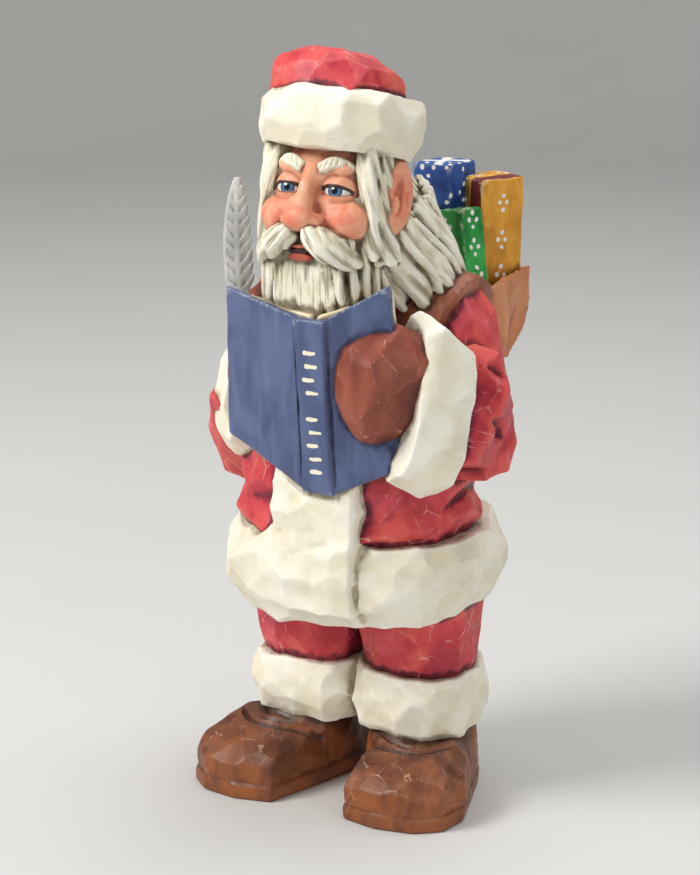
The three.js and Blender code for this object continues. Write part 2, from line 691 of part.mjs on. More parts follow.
function sack() {
  const { x, y, low, rim, halfWidth, halfDepth } = SACK;
  const levels = [
    [low, x, y - 8, halfWidth - 14, halfDepth - 8],
    [low + 14, x, y - 4, halfWidth - 4, halfDepth - 1.5],
    [low + 36, x, y, halfWidth, halfDepth],
    [low + 56, x, y + 1, halfWidth - 0.5, halfDepth],
    [rim, x, y + 2, halfWidth + 1.5, halfDepth + 1],
  ];
  const bag = carved(levels, { rows: 4, columns: 9, seed: 121, square: 2.8 });
  const mouth = carved(
    [
      [rim - 6, x, y + 2, halfWidth - 4, halfDepth - 4],
      [rim + 4, x, y + 2, halfWidth - 1.5, halfDepth - 1.5],
    ],
    { rows: 1, columns: 9, seed: 125, square: 2.8, rough: 0.1 },
  );
  const fold = hull([
    vec(27, 30, 174), vec(33.4, 58, 175), vec(32.4, 56, 152), vec(28, 50, 142.5), vec(26, 33, 150),
    vec(24, 40, 172), vec(22, 56, 172), vec(20, 48, 146),
  ]);
  return bag.add(fold).subtract(mouth);
}

function strap(side) {
  const centres = [[24, -21, 158], [28, -12, 170], [30.5, 2, 178.5], [29, 17, 175], [26, 28, 166]];
  const rings = centres.map(([x, y, z], i) => {
    const away = vec(0.25, (i - 2.3) * 0.5, 1).normalize();
    const half = 8;
    const at = (across, up) => vec(side * (x + across), y, z).addScaledVector(away, up);
    return [at(-half, -9), at(-half, 1.4), at(-2, 2.2), at(half - 2, 1.2), at(half, -9)];
  });
  return skin(rings);
}

// A present: its middle, size, turn about the vertical, and lean to one side
const PRESENTS = [
  { at: vec(20.5, 49, 185), size: vec(14.5, 19, 42), turn: -24, lean: 2 },
  { at: vec(19, 32.5, 183), size: vec(12.7, 10.5, 27), turn: -18, lean: -9 },
  { at: vec(8, 41, 189.5), size: vec(15.5, 17, 43), turn: -6, lean: -2 },
  { at: vec(-14, 42, 183), size: vec(20, 19, 34), turn: 12, lean: -5 },
];

function present({ at, size, turn, lean }) {
  const place = new THREE.Matrix4().makeRotationFromEuler(new THREE.Euler(0, degrees(lean), degrees(turn)));
  place.setPosition(at);
  const half = size.clone().multiplyScalar(0.5);
  const corners = [-1, 1].flatMap((i) => [-1, 1].flatMap((j) => [-1, 1].map((k) =>
    vec(i * half.x, j * half.y, k * half.z).applyMatrix4(place),
  )));
  return hull(corners);
}

// Feather pen: a bare stem below and a vane with slanting cuts, from the mitten up beside the face

const FEATHER = {
  foot: vec(-27.5, -33, 162),
  tip: vec(-34.5, -25, 210.5),
  bend: vec(-32.5, -30.5, 190),
  vaneStart: 0.14,
  halfWidth: 6.4,
  thickness: 2.4,
};

function featherSection(t, { grow = 0 } = {}) {
  const { foot, bend, tip, vaneStart, halfWidth, thickness } = FEATHER;
  const curve = new THREE.QuadraticBezierCurve3(foot, bend, tip);
  const p = curve.getPoint(t);
  const side = vec(0.92, 0.38, 0.05).normalize();
  const out = curve.getTangent(t).cross(side).normalize();
  const open = THREE.MathUtils.clamp((t - vaneStart) / 0.16, 0, 1);
  const close = Math.sqrt(Math.max(0, 1 - Math.max(0, (t - 0.55) / 0.46) ** 2));
  const wide = lerp(1.5, halfWidth, open) * lerp(0.2, 1, close) + grow;
  const thick = (lerp(2.6, thickness, open) / 2) * lerp(0.45, 1, close) + grow;
  const at = (a, b) => p.clone().addScaledVector(side, a * wide).addScaledVector(out, b * thick);
  return [at(1, 0.25), at(0.5, 0.75), at(0.14, 0.7), at(0, 1.15), at(-0.14, 0.7), at(-0.5, 0.75),
    at(-1, 0.25), at(-1, -0.25), at(-0.5, -0.8), at(0, -1), at(0.5, -0.8), at(1, -0.25)];
}

function feather() {
  const steps = 9;
  const body = skin(list(steps + 1, (i) => featherSection(i / steps)));
  const notches = [0.33, 0.47, 0.62, 0.78].flatMap((t, k) => {
    const [middle, side] = [featherSection(t), k % 2 ? -1 : 1];
    const edge = side > 0 ? middle[0] : middle[6];
    const spine = middle[3].clone().lerp(middle[9], 0.5);
    const inner = edge.clone().lerp(spine, 0.5).add(vec(0, 0, -3));
    const deep = vec(0, 3, 0);
    const outer = edge.clone().add(edge.clone().sub(spine).setLength(2));
    return [hull([inner, outer.clone().add(vec(0, 0, -0.8)), outer.clone().add(vec(0, 0, 0.9))].flatMap(
      (p) => [p.clone().add(deep), p.clone().sub(deep)],
    ))];
  });
  return notches.reduce((whole, notch) => whole.subtract(notch), body);
}

function featherSocket() {
  const { foot } = FEATHER;
  const down = foot.clone().sub(FEATHER.bend).setLength(FIT_GAP);
  const rings = list(10, (i) => featherSection(i / 9, { grow: FIT_GAP + 0.1 }));
  rings[0] = rings[0].map((p) => p.clone().add(down));
  return skin(rings);
}

// The whole carving

function carving() {
  const body = joined([
    ...[-1, 1].flatMap((side) => [boot(side), leg(side), trouserCuff(side)]),
    hem(),
    belly(),
    chest(),
    frontBand(),
    ...ARMS.map(sleeve),
    sack(),
    ...PRESENTS.map(present),
    strap(-1),
    strap(1),
  ]).subtract(frontSeam());
  return joined([
    body,
    ...ARMS.flatMap((arm) => [sleeveCuff(arm), mitten(arm)]),
    book(),
    hair(),
    head(),
    ear(-1),
    ear(1),
    crown(),
    hatBand(),
  ]).subtract(featherSocket());
}

function asGeometry(shape) {
  const { vertProperties, triVerts } = shape.getMesh();
  const geometry = new THREE.BufferGeometry();
  geometry.setAttribute("position", new THREE.BufferAttribute(vertProperties, 3));
  geometry.setIndex(new THREE.BufferAttribute(triVerts, 1));
  return geometry;
}

function piece(name, shape, material) {
  const mesh = new THREE.Mesh(asGeometry(shape), new THREE.MeshStandardMaterial(material));
  mesh.name = name;
  return mesh;
}

const figure = new THREE.Group();
figure.add(
  piece("santa_carving", carving(), { color: 0xb5403c, roughness: 0.55, metalness: 0 }),
  piece("feather_quill", feather(), { color: 0xd7d4cd, roughness: 0.5, metalness: 0 }),
);

// The origin moves to the ground under the middle of the whole piece
const box = new THREE.Box3().setFromObject(figure);
figure.position.set(-(box.min.x + box.max.x) / 2, -(box.min.y + box.max.y) / 2, -box.min.z);

export default figure;
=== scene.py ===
import functools
import math

import bmesh
import bpy
import numpy as np
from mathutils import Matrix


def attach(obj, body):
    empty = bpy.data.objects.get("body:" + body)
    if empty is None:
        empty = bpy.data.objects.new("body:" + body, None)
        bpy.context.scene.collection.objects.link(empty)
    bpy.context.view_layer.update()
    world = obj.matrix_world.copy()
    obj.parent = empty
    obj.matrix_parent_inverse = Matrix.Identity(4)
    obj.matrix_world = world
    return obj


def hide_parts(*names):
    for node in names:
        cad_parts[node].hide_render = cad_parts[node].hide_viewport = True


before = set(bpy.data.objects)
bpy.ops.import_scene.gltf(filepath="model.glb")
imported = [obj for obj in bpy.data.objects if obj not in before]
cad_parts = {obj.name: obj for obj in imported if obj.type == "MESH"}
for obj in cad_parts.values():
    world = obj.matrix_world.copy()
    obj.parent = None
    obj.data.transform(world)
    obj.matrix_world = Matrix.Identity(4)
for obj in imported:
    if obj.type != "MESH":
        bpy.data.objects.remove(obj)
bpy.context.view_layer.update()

import openvdb
from mathutils import Matrix, Vector

# A carved and painted Santa figurine. Shapes are worked out in millimetres from the ground between the
# ankles, as volumes on a lattice; each painted region becomes a skin, and the skins are joined into one.
MM = 0.001
SHARP_ANGLE = math.radians(38)
SHIFT = np.array([-0.5, -5.021, 0.0])  # from that place to the frame's origin
CELL = 0.6
FINE_CELL = 0.36
FAR = 1.8  # distances are kept up to this

SOLE_THICKNESS = 5.5
WELT = 1
BOOT_TOP = 31
ANKLE = (20, 4)
CUFF = dict(low=23.5, high=44.5, half_width=20.5, half_depth=21)
HEM = dict(low=66.5, high=95.5, half_width=46, half_depth=43.5)
BELLY = dict(y=-4.5, low=92, high=126, half_width=40, half_depth=37)
CHEST = dict(y=2, high=178, half_width=35, half_depth=29)
BAND = dict(right=-12.5, left=19.8, front=-45.5, high=122)
HEAD = dict(y=-17, z=205, tilt=math.radians(13), radii=(20, 21.5, 31))
HAT_BAND = dict(y=-4.6, low=14.5, high=34, half_width=25.4)
SACK = dict(x=2, y=39, low=104, rim=172, half_width=31, half_depth=22)


def lerp(a, b, t):
    return a + (b - a) * t


def vec(*values):
    return np.array(values, float)


def unit(v):
    return v / np.linalg.norm(v)


def jitter(i, j, seed):
    wave = math.sin(i * 127.1 + j * 311.7 + seed * 74.7) * 43758.5453
    return 2 * (wave - math.floor(wave)) - 1


# Flat knife cuts: a point and an outward normal each


def catmull_rom(t, p0, p1, p2, p3):
    cubic = 3 * p1 - p0 - 3 * p2 + p3
    square = 2 * p0 - 5 * p1 + 4 * p2 - p3
    return 0.5 * (2 * p1 + (p2 - p0) * t + square * t**2 + cubic * t**3)


def level_at(levels, height):
    last = len(levels) - 1
    i = 0
    while i < last - 1 and height > levels[i + 1][0]:
        i += 1
    t = (height - levels[i][0]) / (levels[i + 1][0] - levels[i][0])
    near = [levels[max(i - 1, 0)], levels[i], levels[i + 1], levels[min(i + 2, last)]]
    return [catmull_rom(t, *column) for column in zip(*near)]


def barrel_point(levels, angle, height, square):
    _, x, y, half_width, half_depth = level_at(levels, height)

    def bend(value):
        return math.copysign(abs(value) ** (2 / square), value)

    return vec(x + half_width * bend(math.cos(angle)), y + half_depth * bend(math.sin(angle)), height)


def barrel_cut(levels, angle, height, square):
    step = 0.02
    point = barrel_point(levels, angle, height, square)
    across = barrel_point(levels, angle + step, height, square) - point
    up = barrel_point(levels, angle, height + step, square) - point
    return point, unit(np.cross(across, up))


def moved(place, point):
    return place[:3, :3] @ point + place[:3, 3]


def carved(levels, rows=3, columns=10, seed=1, square=2.4, rough=0.3, placed=None):
    low, high = levels[0][0], levels[-1][0]
    cuts = []
    for row in range(rows):
        for column in range(columns):
            shift = 0.5 if row % 2 else 0
            around = column + shift + rough * jitter(row, column, seed)
            rise = row + 0.5 + rough * jitter(column, row, seed + 5)
            angle = around * 2 * math.pi / columns
            point, normal = barrel_cut(levels, angle, lerp(low, high, rise / rows), square)
            deeper = 0.25 * (1 + jitter(row * 3, column * 7, seed + 9))
            cuts.append((point - deeper * normal, normal))
    for level, side in ((levels[0], -1), (levels[-1], 1)):
        lean = 0.05
        normal = unit(vec(lean * jitter(1, seed, side), lean * jitter(2, seed, side), side))
        cuts.append((vec(level[1], level[2], level[0]), normal))
    if placed is not None:
        cuts = [(moved(placed, point), placed[:3, :3] @ normal) for point, normal in cuts]
    return cuts


def along(start, end, side=(1, 0, 0)):
    z = unit(end - start)
    y = unit(np.cross(z, side))
    place = np.eye(4)
    place[:3, 0], place[:3, 1], place[:3, 2], place[:3, 3] = np.cross(y, z), y, z, start
    return place


def hull_cuts(points):
    bm = bmesh.new()
    for p in points:
        bm.verts.new(p)
    bmesh.ops.convex_hull(bm, input=bm.verts)
    middle = np.mean(points, axis=0)
    cuts = {}
    for face in bm.faces:
        a, b, c = (np.array(v.co) for v in face.verts[:3])
        normal = np.cross(b - a, c - a)
        if np.linalg.norm(normal) < 1e-6:
            continue
        normal = unit(normal)
        if normal @ (a - middle) < 0:
            normal = -normal
        cuts[tuple(np.round(normal, 2))] = (a, normal)
    bm.free()
    return list(cuts.values())


def chip_cuts(start, end, away, width, depth):
    """A leaf-shaped hollow, deepest at its middle"""
    middle = lerp(start, end, 0.45)
    out = unit(away)
    side = unit(np.cross(end - start, out)) * width / 2
    rise = 3
    wide = 1 + rise / depth
    return hull_cuts([
        start - 0.4 * out, end - 0.4 * out, start + rise * out, end + rise * out, middle - depth * out,
        middle + rise * out + wide * side, middle + rise * out - wide * side,
    ])


# Scoops of a blade, scattered in space: each point belongs to the one whose middle is nearest


def hashed(cells, seed):
    wave = np.sin(cells @ np.array([127.1, 311.7, 74.7]) + seed * 19.19) * 43758.5453
    return wave - np.floor(wave)


def nearest_dents(points, size, seed):
    """For each point, the distance to the nearest dent's middle and a number of that dent's own"""
    scaled = points / size
    base = np.floor(scaled)
    first = np.full(len(points), 9.0)
    own = first.copy()
    for spot, gap, number in dents_round(scaled, base, seed):
        closer = gap < first
        own = np.where(closer, number, own)
        first = np.where(closer, gap, first)
    return first, own


def dents_round(scaled, base, seed):
    """The middles of the 27 dents near each point, their distances and numbers"""
    for i in range(27):
        cell = base + np.array([i // 9 - 1, i // 3 % 3 - 1, i % 3 - 1])
        spot = cell + np.stack([hashed(cell, seed + k) for k in range(3)], axis=1)
        yield spot, np.linalg.norm(spot - scaled, axis=1), hashed(cell, seed + 7)


def dent_borders(points, normals, size, seed):
    """How far each point is, along the skin, from the border of its dent"""
    scaled = points / size
    near, following = scaled + 9, scaled + 9
    first, second = np.full(len(points), 9.0), np.full(len(points), 9.5)
    for spot, gap, _ in dents_round(scaled, np.floor(scaled), seed):
        closer = gap < first
        later = ~closer & (gap < second)
        following = np.where(closer[:, None], near, np.where(later[:, None], spot, following))
        second = np.where(closer, first, np.where(later, gap, second))
        near = np.where(closer[:, None], spot, near)
        first = np.where(closer, gap, first)
    steep = (near - following) / size
    level = steep - np.einsum("ij,ij->i", steep, normals)[:, None] * normals
    slopes = np.linalg.norm(level, axis=1)
    distance = (second**2 - first**2) / 2 / np.maximum(slopes, 1e-3)
    return np.where(slopes < 0.5 * np.linalg.norm(steep, axis=1), 3, distance)


class Volume:
    """Signed distances on a lattice, in millimetres: below nought inside the wood"""

    def __init__(self, low, high, cell=CELL):
        self.cell = cell
        self.start = np.floor(np.array(low) / cell).astype(int)
        self.stop = np.ceil(np.array(high) / cell).astype(int)
        self.values = np.full(self.stop - self.start, FAR, np.float32)
        self.dents = self.strokes = None

    def window(self, low, high):
        slack = 1e-6
        a = np.clip(np.floor(np.array(low) / self.cell + slack).astype(int), self.start, self.stop)
        b = np.clip(np.ceil(np.array(high) / self.cell - slack).astype(int) + 1, self.start, self.stop)
        part = tuple(slice(p, q) for p, q in zip(a - self.start, b - self.start))
        axes = [np.arange(p, q, dtype=np.float32) * np.float32(self.cell) for p, q in zip(a, b)]
        return part, np.meshgrid(*axes, indexing="ij", sparse=True)

    def put(self, part, shape, blend=0.0, take=False):
        old = self.values[part]
        shape = np.clip(shape, -FAR - blend, FAR + blend)
        if take:
            old = -old
        if blend:
            mix = np.clip(0.5 + 0.5 * (shape - old) / blend, 0, 1)
            new = shape + (old - shape) * mix - blend * mix * (1 - mix)
        else:
            new = np.minimum(old, shape)
        self.values[part] = np.clip(-new if take else new, -FAR, FAR)

    def cuts(self, cuts, crisp=7.0, blend=0.0, take=False):
        """The wood behind all the cuts; a lower crisp leaves softer edges between them"""
        margin = 7
        points = np.array([point for point, _ in cuts])
        part, (x, y, z) = self.window(points.min(0) - margin, points.max(0) + margin)
        if self.values[part].size == 0:
            return
        total = np.zeros(self.values[part].shape, np.float32)
        for point, normal in cuts:
            a, b, c = (np.float32(v) for v in normal)
            total += np.exp(np.clip(crisp * (a * x + b * y + (c * z - np.float32(normal @ point))), -20, 20))
        self.put(part, np.log(total) / crisp, blend, take)

    def barrel(self, levels, blend=0.0, take=False, **how):
        self.cuts(carved(levels, **how), blend=blend, take=take)

    def hull(self, points, crisp=7.0, blend=0.0):
        self.cuts(hull_cuts(points), crisp, blend)

    def chip(self, *leaf, crisp, blend):
        self.cuts(chip_cuts(*leaf), crisp, blend, take=True)

    def lock(self, *path, blend=0.0, **how):
        self.rings(lock_rings(*path, **how), blend)

    def groove(self, *line, blend, **how):
        self.rings(groove_rings(*line, **how), blend, take=True)

    def egg(self, centre, radii, placed=None, blend=0.0, take=False):
        place = np.eye(4) if placed is None else placed
        middle = moved(place, np.array(centre, float))
        reach = max(radii) + FAR + blend + 0.5
        part, (x, y, z) = self.window(middle - reach, middle + reach)
        if self.values[part].size == 0:
            return
        turn = place[:3, :3].T.astype(np.float32)
        dx, dy, dz = x - np.float32(middle[0]), y - np.float32(middle[1]), z - np.float32(middle[2])
        near, steep = 0, 0
        for axis, radius in enumerate(radii):
            q = turn[axis, 0] * dx + turn[axis, 1] * dy + turn[axis, 2] * dz
            near = near + (q / np.float32(radius)) ** 2
            steep = steep + (q / np.float32(radius) ** 2) ** 2
        near = np.sqrt(near)
        self.put(part, near * (near - 1) / np.sqrt(steep + 1e-9), blend, take)

    def rings(self, rings, blend=0.0, take=False):
        """A closed skin through rings of points"""
        points, triangles = skin(rings)
        reach = FAR + 1
        part, _ = self.window(points.min(0) - reach, points.max(0) + reach)
        if self.values[part].size == 0:
            return
        transform = openvdb.createLinearTransform(voxelSize=self.cell)
        width = FAR / self.cell + 1
        grid = openvdb.FloatGrid.createLevelSetFromPolygons(
            points, triangles=triangles, transform=transform, halfWidth=width)
        shape = np.full(self.values[part].shape, FAR, np.float32)
        grid.copyToArray(shape, ijk=tuple(int(s.start + o) for s, o in zip(part, self.start)))
        self.put(part, shape, blend, take)

    def near_skin(self):
        where = np.nonzero(np.abs(self.values) < FAR * 0.95)
        return where, (np.stack(where, axis=1) + self.start) * self.cell

    def hollow_out(self, depths):
        """Moves the skin in by a depth that is worked out at each point near it"""
        where, points = self.near_skin()
        self.values[where] += depths(points).astype(np.float32)

    def top_at(self, x, y):
        """The height of the skin over a point"""
        i, j = (int(round(v / self.cell)) - s for v, s in zip((x, y), self.start))
        inside = np.nonzero(self.values[i, j] < 0)[0]
        return (inside[-1] + self.start[2]) * self.cell

    def dent(self, size, depth, seed, lift=0.55):
        """Scoops of a blade side by side; lift keeps the skin where it was on average"""
        self.dents = (np.array(size, float), seed)
        self.hollow_out(lambda points: depth * (
            np.clip(1 - nearest_dents(points, *self.dents)[0] ** 2 * 1.25, -0.1, 1) - lift))

    def stroke(self, flow, length, width, depth, seed):
        """Cuts that follow the hair; flow gives the way along it and across it"""
        def pattern(points):
            u, v = flow(points)
            return u, v, strokes(u, v, length, width, seed)

        self.strokes = pattern
        self.hollow_out(lambda points: depth * pattern(points)[2])


def skin(rings):
    rings = [np.array(ring) for ring in rings]
    around = len(rings[0])
    points = np.concatenate(rings + [rings[0].mean(0)[None], rings[-1].mean(0)[None]])
    triangles = []
    for r in range(len(rings) - 1):
        for i in range(around):
            k = (i + 1) % around
            a, b, c, d = r * around + i, r * around + k, (r + 1) * around + k, (r + 1) * around + i
            triangles += [(a, b, c), (a, c, d)]
    first, last = len(points) - 2, len(points) - 1
    top = (len(rings) - 1) * around
    for i in range(around):
        k = (i + 1) % around
        triangles += [(first, k, i), (last, top + i, top + k)]
    triangles = np.array(triangles)
    a, b, c = (points[triangles[:, k]] for k in range(3))
    if np.einsum("ij,ij->i", a, np.cross(b, c)).sum() < 0:
        triangles = triangles[:, ::-1]
    return points.astype(np.float32), np.ascontiguousarray(triangles, np.int32)


def curve_points(points, count):
    points = [np.array(p, float) for p in points]
    last = len(points) - 1
    found = []
    for n in range(count):
        s = n / (count - 1) * last
        i = min(int(s), last - 1)
        before = points[i - 1] if i else 2 * points[0] - points[1]
        after = points[i + 2] if i + 2 <= last else 2 * points[last] - points[last - 1]
        found.append(catmull_rom(s - i, before, points[i], points[i + 1], after))
    return found


def strokes(u, v, length, width, seed):
    """Leaf-shaped cuts side by side, as a small gouge leaves them: u runs along them and v across"""
    v = v + 0.22 * width * np.sin(u / (0.7 * length) + 2.5 * np.sin(v / (2.6 * width)))
    column = np.floor(v / width)
    spots = np.stack([column, column * 0, column * 0], axis=1)
    u = u / length + hashed(spots, seed)
    row = np.floor(u)
    own = hashed(np.stack([column, row, row * 0], axis=1), seed + 3)
    opened = np.sin(np.pi * (u - row)) ** 0.6
    across = np.abs(2 * (v / width - column) - 1) / np.maximum(opened * (0.7 + 0.3 * own), 0.05)
    return (0.45 + 0.55 * own) * opened * np.clip(1 - across**1.5, 0, 1)


# The section of a lock of hair: across from 1 to -1, and up
LOCK = [(1, -0.8), (0.7, 0.55), (0.35, 0.95), (-0.05, 1), (-0.45, 0.8), (-0.8, 0.3), (-1, -0.8)]


def lock_rings(points, out, width, height, start=0.25, tip=0.12):
    steps = 14
    path = curve_points(points, steps + 1)
    rings = []
    for i, p in enumerate(path):
        t = i / steps
        ahead = path[min(i + 1, steps)] - path[max(i - 1, 0)]
        away = unit(out(p))
        side = unit(np.cross(ahead, away))
        swell = tip + (1 - tip) * max(0, math.sin(math.pi * min(1, start + (1 - start) * t))) ** 0.8
        rings.append([p + side * a * width / 2 * swell + away * b * height * swell for a, b in LOCK])
    return rings


# Regions of the figure, each a volume that gets its own paint


def box_of(low, high, cell=CELL):
    return Volume(np.array(low, float), np.array(high, float), cell)


# The outline of the left boot at the ground, from the heel round by the toe; the right one mirrors it
BOOT_OUTLINE = [
    (33, 21.5), (38.2, 14), (45, -6), (51, -22), (49.3, -34.5), (41, -41.5),
    (27, -44), (13.8, -41), (9.5, -24), (4.5, -3), (3.2, 12), (8.5, 21.5), (20, 24),
]


def boot_ring(side, height, inset=0.0, front=0.0, pinch=1.0, seed=1):
    middle = 24
    ring = []
    for i, (x, y) in enumerate(BOOT_OUTLINE):
        inward = unit(vec(middle - x, -y - 8, 0)) * inset
        drawn = y * (1 - front) if y < 0 else y
        across = middle + (x - middle) * pinch + inward[0] + 0.35 * jitter(i, height, seed)
        ring.append(vec(side * across, drawn + inward[1], height))
    return ring


def boots():
    volume = box_of((-54, -47, -2), (54, 29, 36), 0.55)
    for side in (-1, 1):
        seed = side + 4
        volume.hull(
            boot_ring(side, SOLE_THICKNESS - 2, inset=1.0, seed=seed)
            + boot_ring(side, 12, inset=WELT, front=0.01, seed=seed + 1)
            + boot_ring(side, 16, inset=2.2, front=0.07, seed=seed + 2)
            + boot_ring(side, 19.6, inset=4.4, front=0.17, pinch=0.95, seed=seed + 3)
            + boot_ring(side, 22.4, inset=8, front=0.4, pinch=0.9, seed=seed + 4), crisp=3.6)
        ankle = along(vec(side * (ANKLE[0] + 2), ANKLE[1] - 4.5, SOLE_THICKNESS + 1.5),
                      vec(side * ANKLE[0], ANKLE[1], BOOT_TOP))
        volume.barrel(
            [[0, 0, 0, 15, 22], [8, 0, 1, 15.8, 21.5], [17, 0, 2, 15.6, 19.5], [25, 0, 1.5, 15, 16.5]],
            rows=2, columns=8, seed=seed, square=2.5, placed=ankle, blend=0.8)
    volume.dent((8.5, 8.5, 7), 1.15, 3, lift=0.5)
    for side in (-1, 1):
        seed = side + 4
        volume.hull(
            boot_ring(side, 0, inset=0.6, seed=seed)
            + boot_ring(side, SOLE_THICKNESS * 0.75, inset=0.2, seed=seed)
            + boot_ring(side, SOLE_THICKNESS, inset=0.6, seed=seed), crisp=3.6, blend=0.5)
    for side in (-1, 1):
        for points, width, depth in (
            (((9, -13), (14, -20), (25, -23.5), (35, -21), (42, -13)), 3.4, 2.2),
            (((13, -14), (19, -18), (27, -19.5), (33, -18)), 2, 1),
        ):
            crease = [vec(side * x, y, volume.top_at(side * x, y)) for x, y in points]
            volume.groove(crease, lambda p: vec(0, -0.2, 1), width, depth, blend=0.3)
    return volume


def groove_rings(points, out, width, depth, steps=16, lift=2.0):
    """A V cut of the knife along a curve"""
    path = curve_points(points, steps + 1)
    rings = []
    for i, p in enumerate(path):
        ahead = path[min(i + 1, steps)] - path[max(i - 1, 0)]
        away = unit(out(p))
        side = unit(np.cross(ahead, away))
        fade = 0.25 + 0.75 * math.sin(math.pi * i / steps) ** 0.7
        reach = side * (width / 2 * (1 + lift / depth) * fade)
        top = p + away * lift
        rings.append([top + reach, top - reach, p - away * depth * fade])
    return rings


def legs():
    volume = box_of((-46, -26, 28), (46, 30, 80))
    x, y = ANKLE
    for side in (-1, 1):
        levels = [
            [BOOT_TOP, side * x, y, 16, 16.5], [48, side * x, y - 1, 18.4, 19],
            [60, side * x, y - 2, 19.8, 21.5], [74, side * x, y - 1, 20, 23],
        ]
        volume.barrel(levels, rows=3, columns=9, seed=11 + side, square=2.5)
        volume.chip(vec(side * 3, -22, 64), vec(side * 20, -24, 51), vec(0, -1, 0.2), 6, 2.6,
                    crisp=2.5, blend=0.4)
        volume.chip(vec(side * 41, -8, 62), vec(side * 33, -19, 50), vec(side, -0.7, 0.1), 5, 1.8,
                    crisp=2.5, blend=0.4)
    volume.dent((10, 10, 13), 0.9, 5)
    return volume


def trouser_cuffs():
    volume = box_of((-46, -24, 19), (46, 31, 49))
    low, high = CUFF["low"], CUFF["high"]
    width, depth = CUFF["half_width"], CUFF["half_depth"]
    for side in (-1, 1):
        x, y = side * ANKLE[0], ANKLE[1] - 1
        levels = [
            [low, x, y, width - 1.2, depth - 1.2], [lerp(low, high, 0.35), x, y, width + 0.6, depth + 0.6],
            [lerp(low, high, 0.75), x, y, width + 0.5, depth + 0.5], [high, x, y, width - 1, depth - 1],
        ]
        volume.barrel(levels, rows=3, columns=10, seed=21 + side, square=2.7, rough=0.4)
    volume.dent((10, 10, 8), 1.5, 7)
    return volume


def hem():
    low, high = HEM["low"], HEM["high"]
    width, depth = HEM["half_width"], HEM["half_depth"]
    volume = box_of((-50, -50, 60), (50, 48, 126))
    levels = [
        [low, 0, 0, width - 6, depth - 5], [low + 6, 0, 0, width - 1.5, depth - 1.5],
        [low + 14, 0, 0, width, depth], [high - 5, 0, 0, width - 1.5, depth - 1.5],
        [high, 0, 0, width - 4.5, depth - 4.5],
    ]
    volume.barrel(levels, rows=3, columns=14, seed=31, square=2.35, rough=0.4)
    volume.rings(band_rings(), blend=1.2)
    x = BAND["left"] + 0.6
    seam = [vec(x, BAND["front"] + 1.8, z) for z in (HEM["low"] - 2, 74, 84, 93, 101)]
    volume.groove(seam, lambda p: vec(0.25, -1, 0), 2.6, 3.2, blend=0.3)
    volume.dent((12, 12, 9.5), 1.75, 9)
    return volume


def band_rings():
    left, right, front = BAND["left"], BAND["right"], BAND["front"]
    merge, turn = -24, 1.5
    low, high = HEM["low"], HEM["high"]
    profile = [
        (low - 0.3, 7, 1), (low + 5.5, 1.6, 1), (low + 15, -0.2, 1), (high - 5, 0.2, 1),
        (high - 0.5, 0.9, 0.55), (high + 4, 1.2, 0), (106, 1.4, 0), (BAND["high"], 3.2, 0),
    ]
    rings = []
    for i, (z, back, blend) in enumerate(profile):
        wave = 0.35 * jitter(i, 3, 7)
        face, edge = front + back, lerp(right, merge, blend)
        sunk = face + 4.4 * blend
        rings.append([
            vec(edge + 0.5, face + 16, z), vec(edge - 0.4, sunk + 4.5, z), vec(edge + turn, sunk + 1.2, z),
            vec(lerp(right, left, 0.2), face + 0.2 - wave, z),
            vec(lerp(right, left, 0.6), face - 0.4 + wave, z),
            vec(left - turn, face + 0.6 - wave, z), vec(left, face + 2.4, z), vec(left - 0.5, face + 16, z),
        ])
    return rings


def torso():
    volume = box_of((-47, -46, 88), (47, 38, 182))
    y, low, high = BELLY["y"], BELLY["low"], BELLY["high"]
    width, depth = BELLY["half_width"], BELLY["half_depth"]
    fold = 106
    volume.barrel([
        [low, 0, y, width - 4, depth - 3.5], [low + 5, 0, y, width - 0.5, depth],
        [low + 10, 0, y, width, depth - 0.5], [fold + 4, 0, y, width - 5, depth - 5],
    ], rows=3, columns=12, seed=41, square=2.3, rough=0.36)
    volume.barrel([
        [fold - 3, 0, y + 1, width - 5, depth - 4.5], [fold + 3, 0, y + 1, width - 2, depth - 2],
        [high - 6, 0, y + 2, width - 2, depth - 2], [high + 12, 0, y + 3, width - 8, depth - 8],
    ], rows=3, columns=10, seed=45, square=2.3, rough=0.36, blend=0.8)
    y, high = CHEST["y"], CHEST["high"]
    width, depth = CHEST["half_width"], CHEST["half_depth"]
    volume.barrel([
        [118, 0, y, width, depth], [145, 0, y, width + 1, depth], [162, 0, y, width, depth - 3],
        [high, 0, y + 1, width - 12, depth - 10],
    ], rows=3, columns=8, seed=51, square=2.6)
    volume.dent((12, 12, 10), 1.2, 11)
    return volume


ARMS = [
    dict(side=1, shoulder=vec(31, 5, 164), elbow=vec(39.5, 1, 129), back=vec(45.5, -15, 139.5),
         front=vec(34.5, -30.5, 144), half_height=27.5, hand=vec(20.5, -47, 151.5),
         wrist=vec(34.5, -31.5, 150), grip=1, palm=18.8, reach=4, drop=4),
    dict(side=-1, shoulder=vec(-31, 5, 164), elbow=vec(-45, 0, 120), back=vec(-39.5, -6, 135),
         front=vec(-30, -18, 140), half_height=23, hand=vec(-25, -29.5, 158), wrist=vec(-30, -18, 140),
         grip=0.86, palm=13.9, reach=0, drop=0),
]


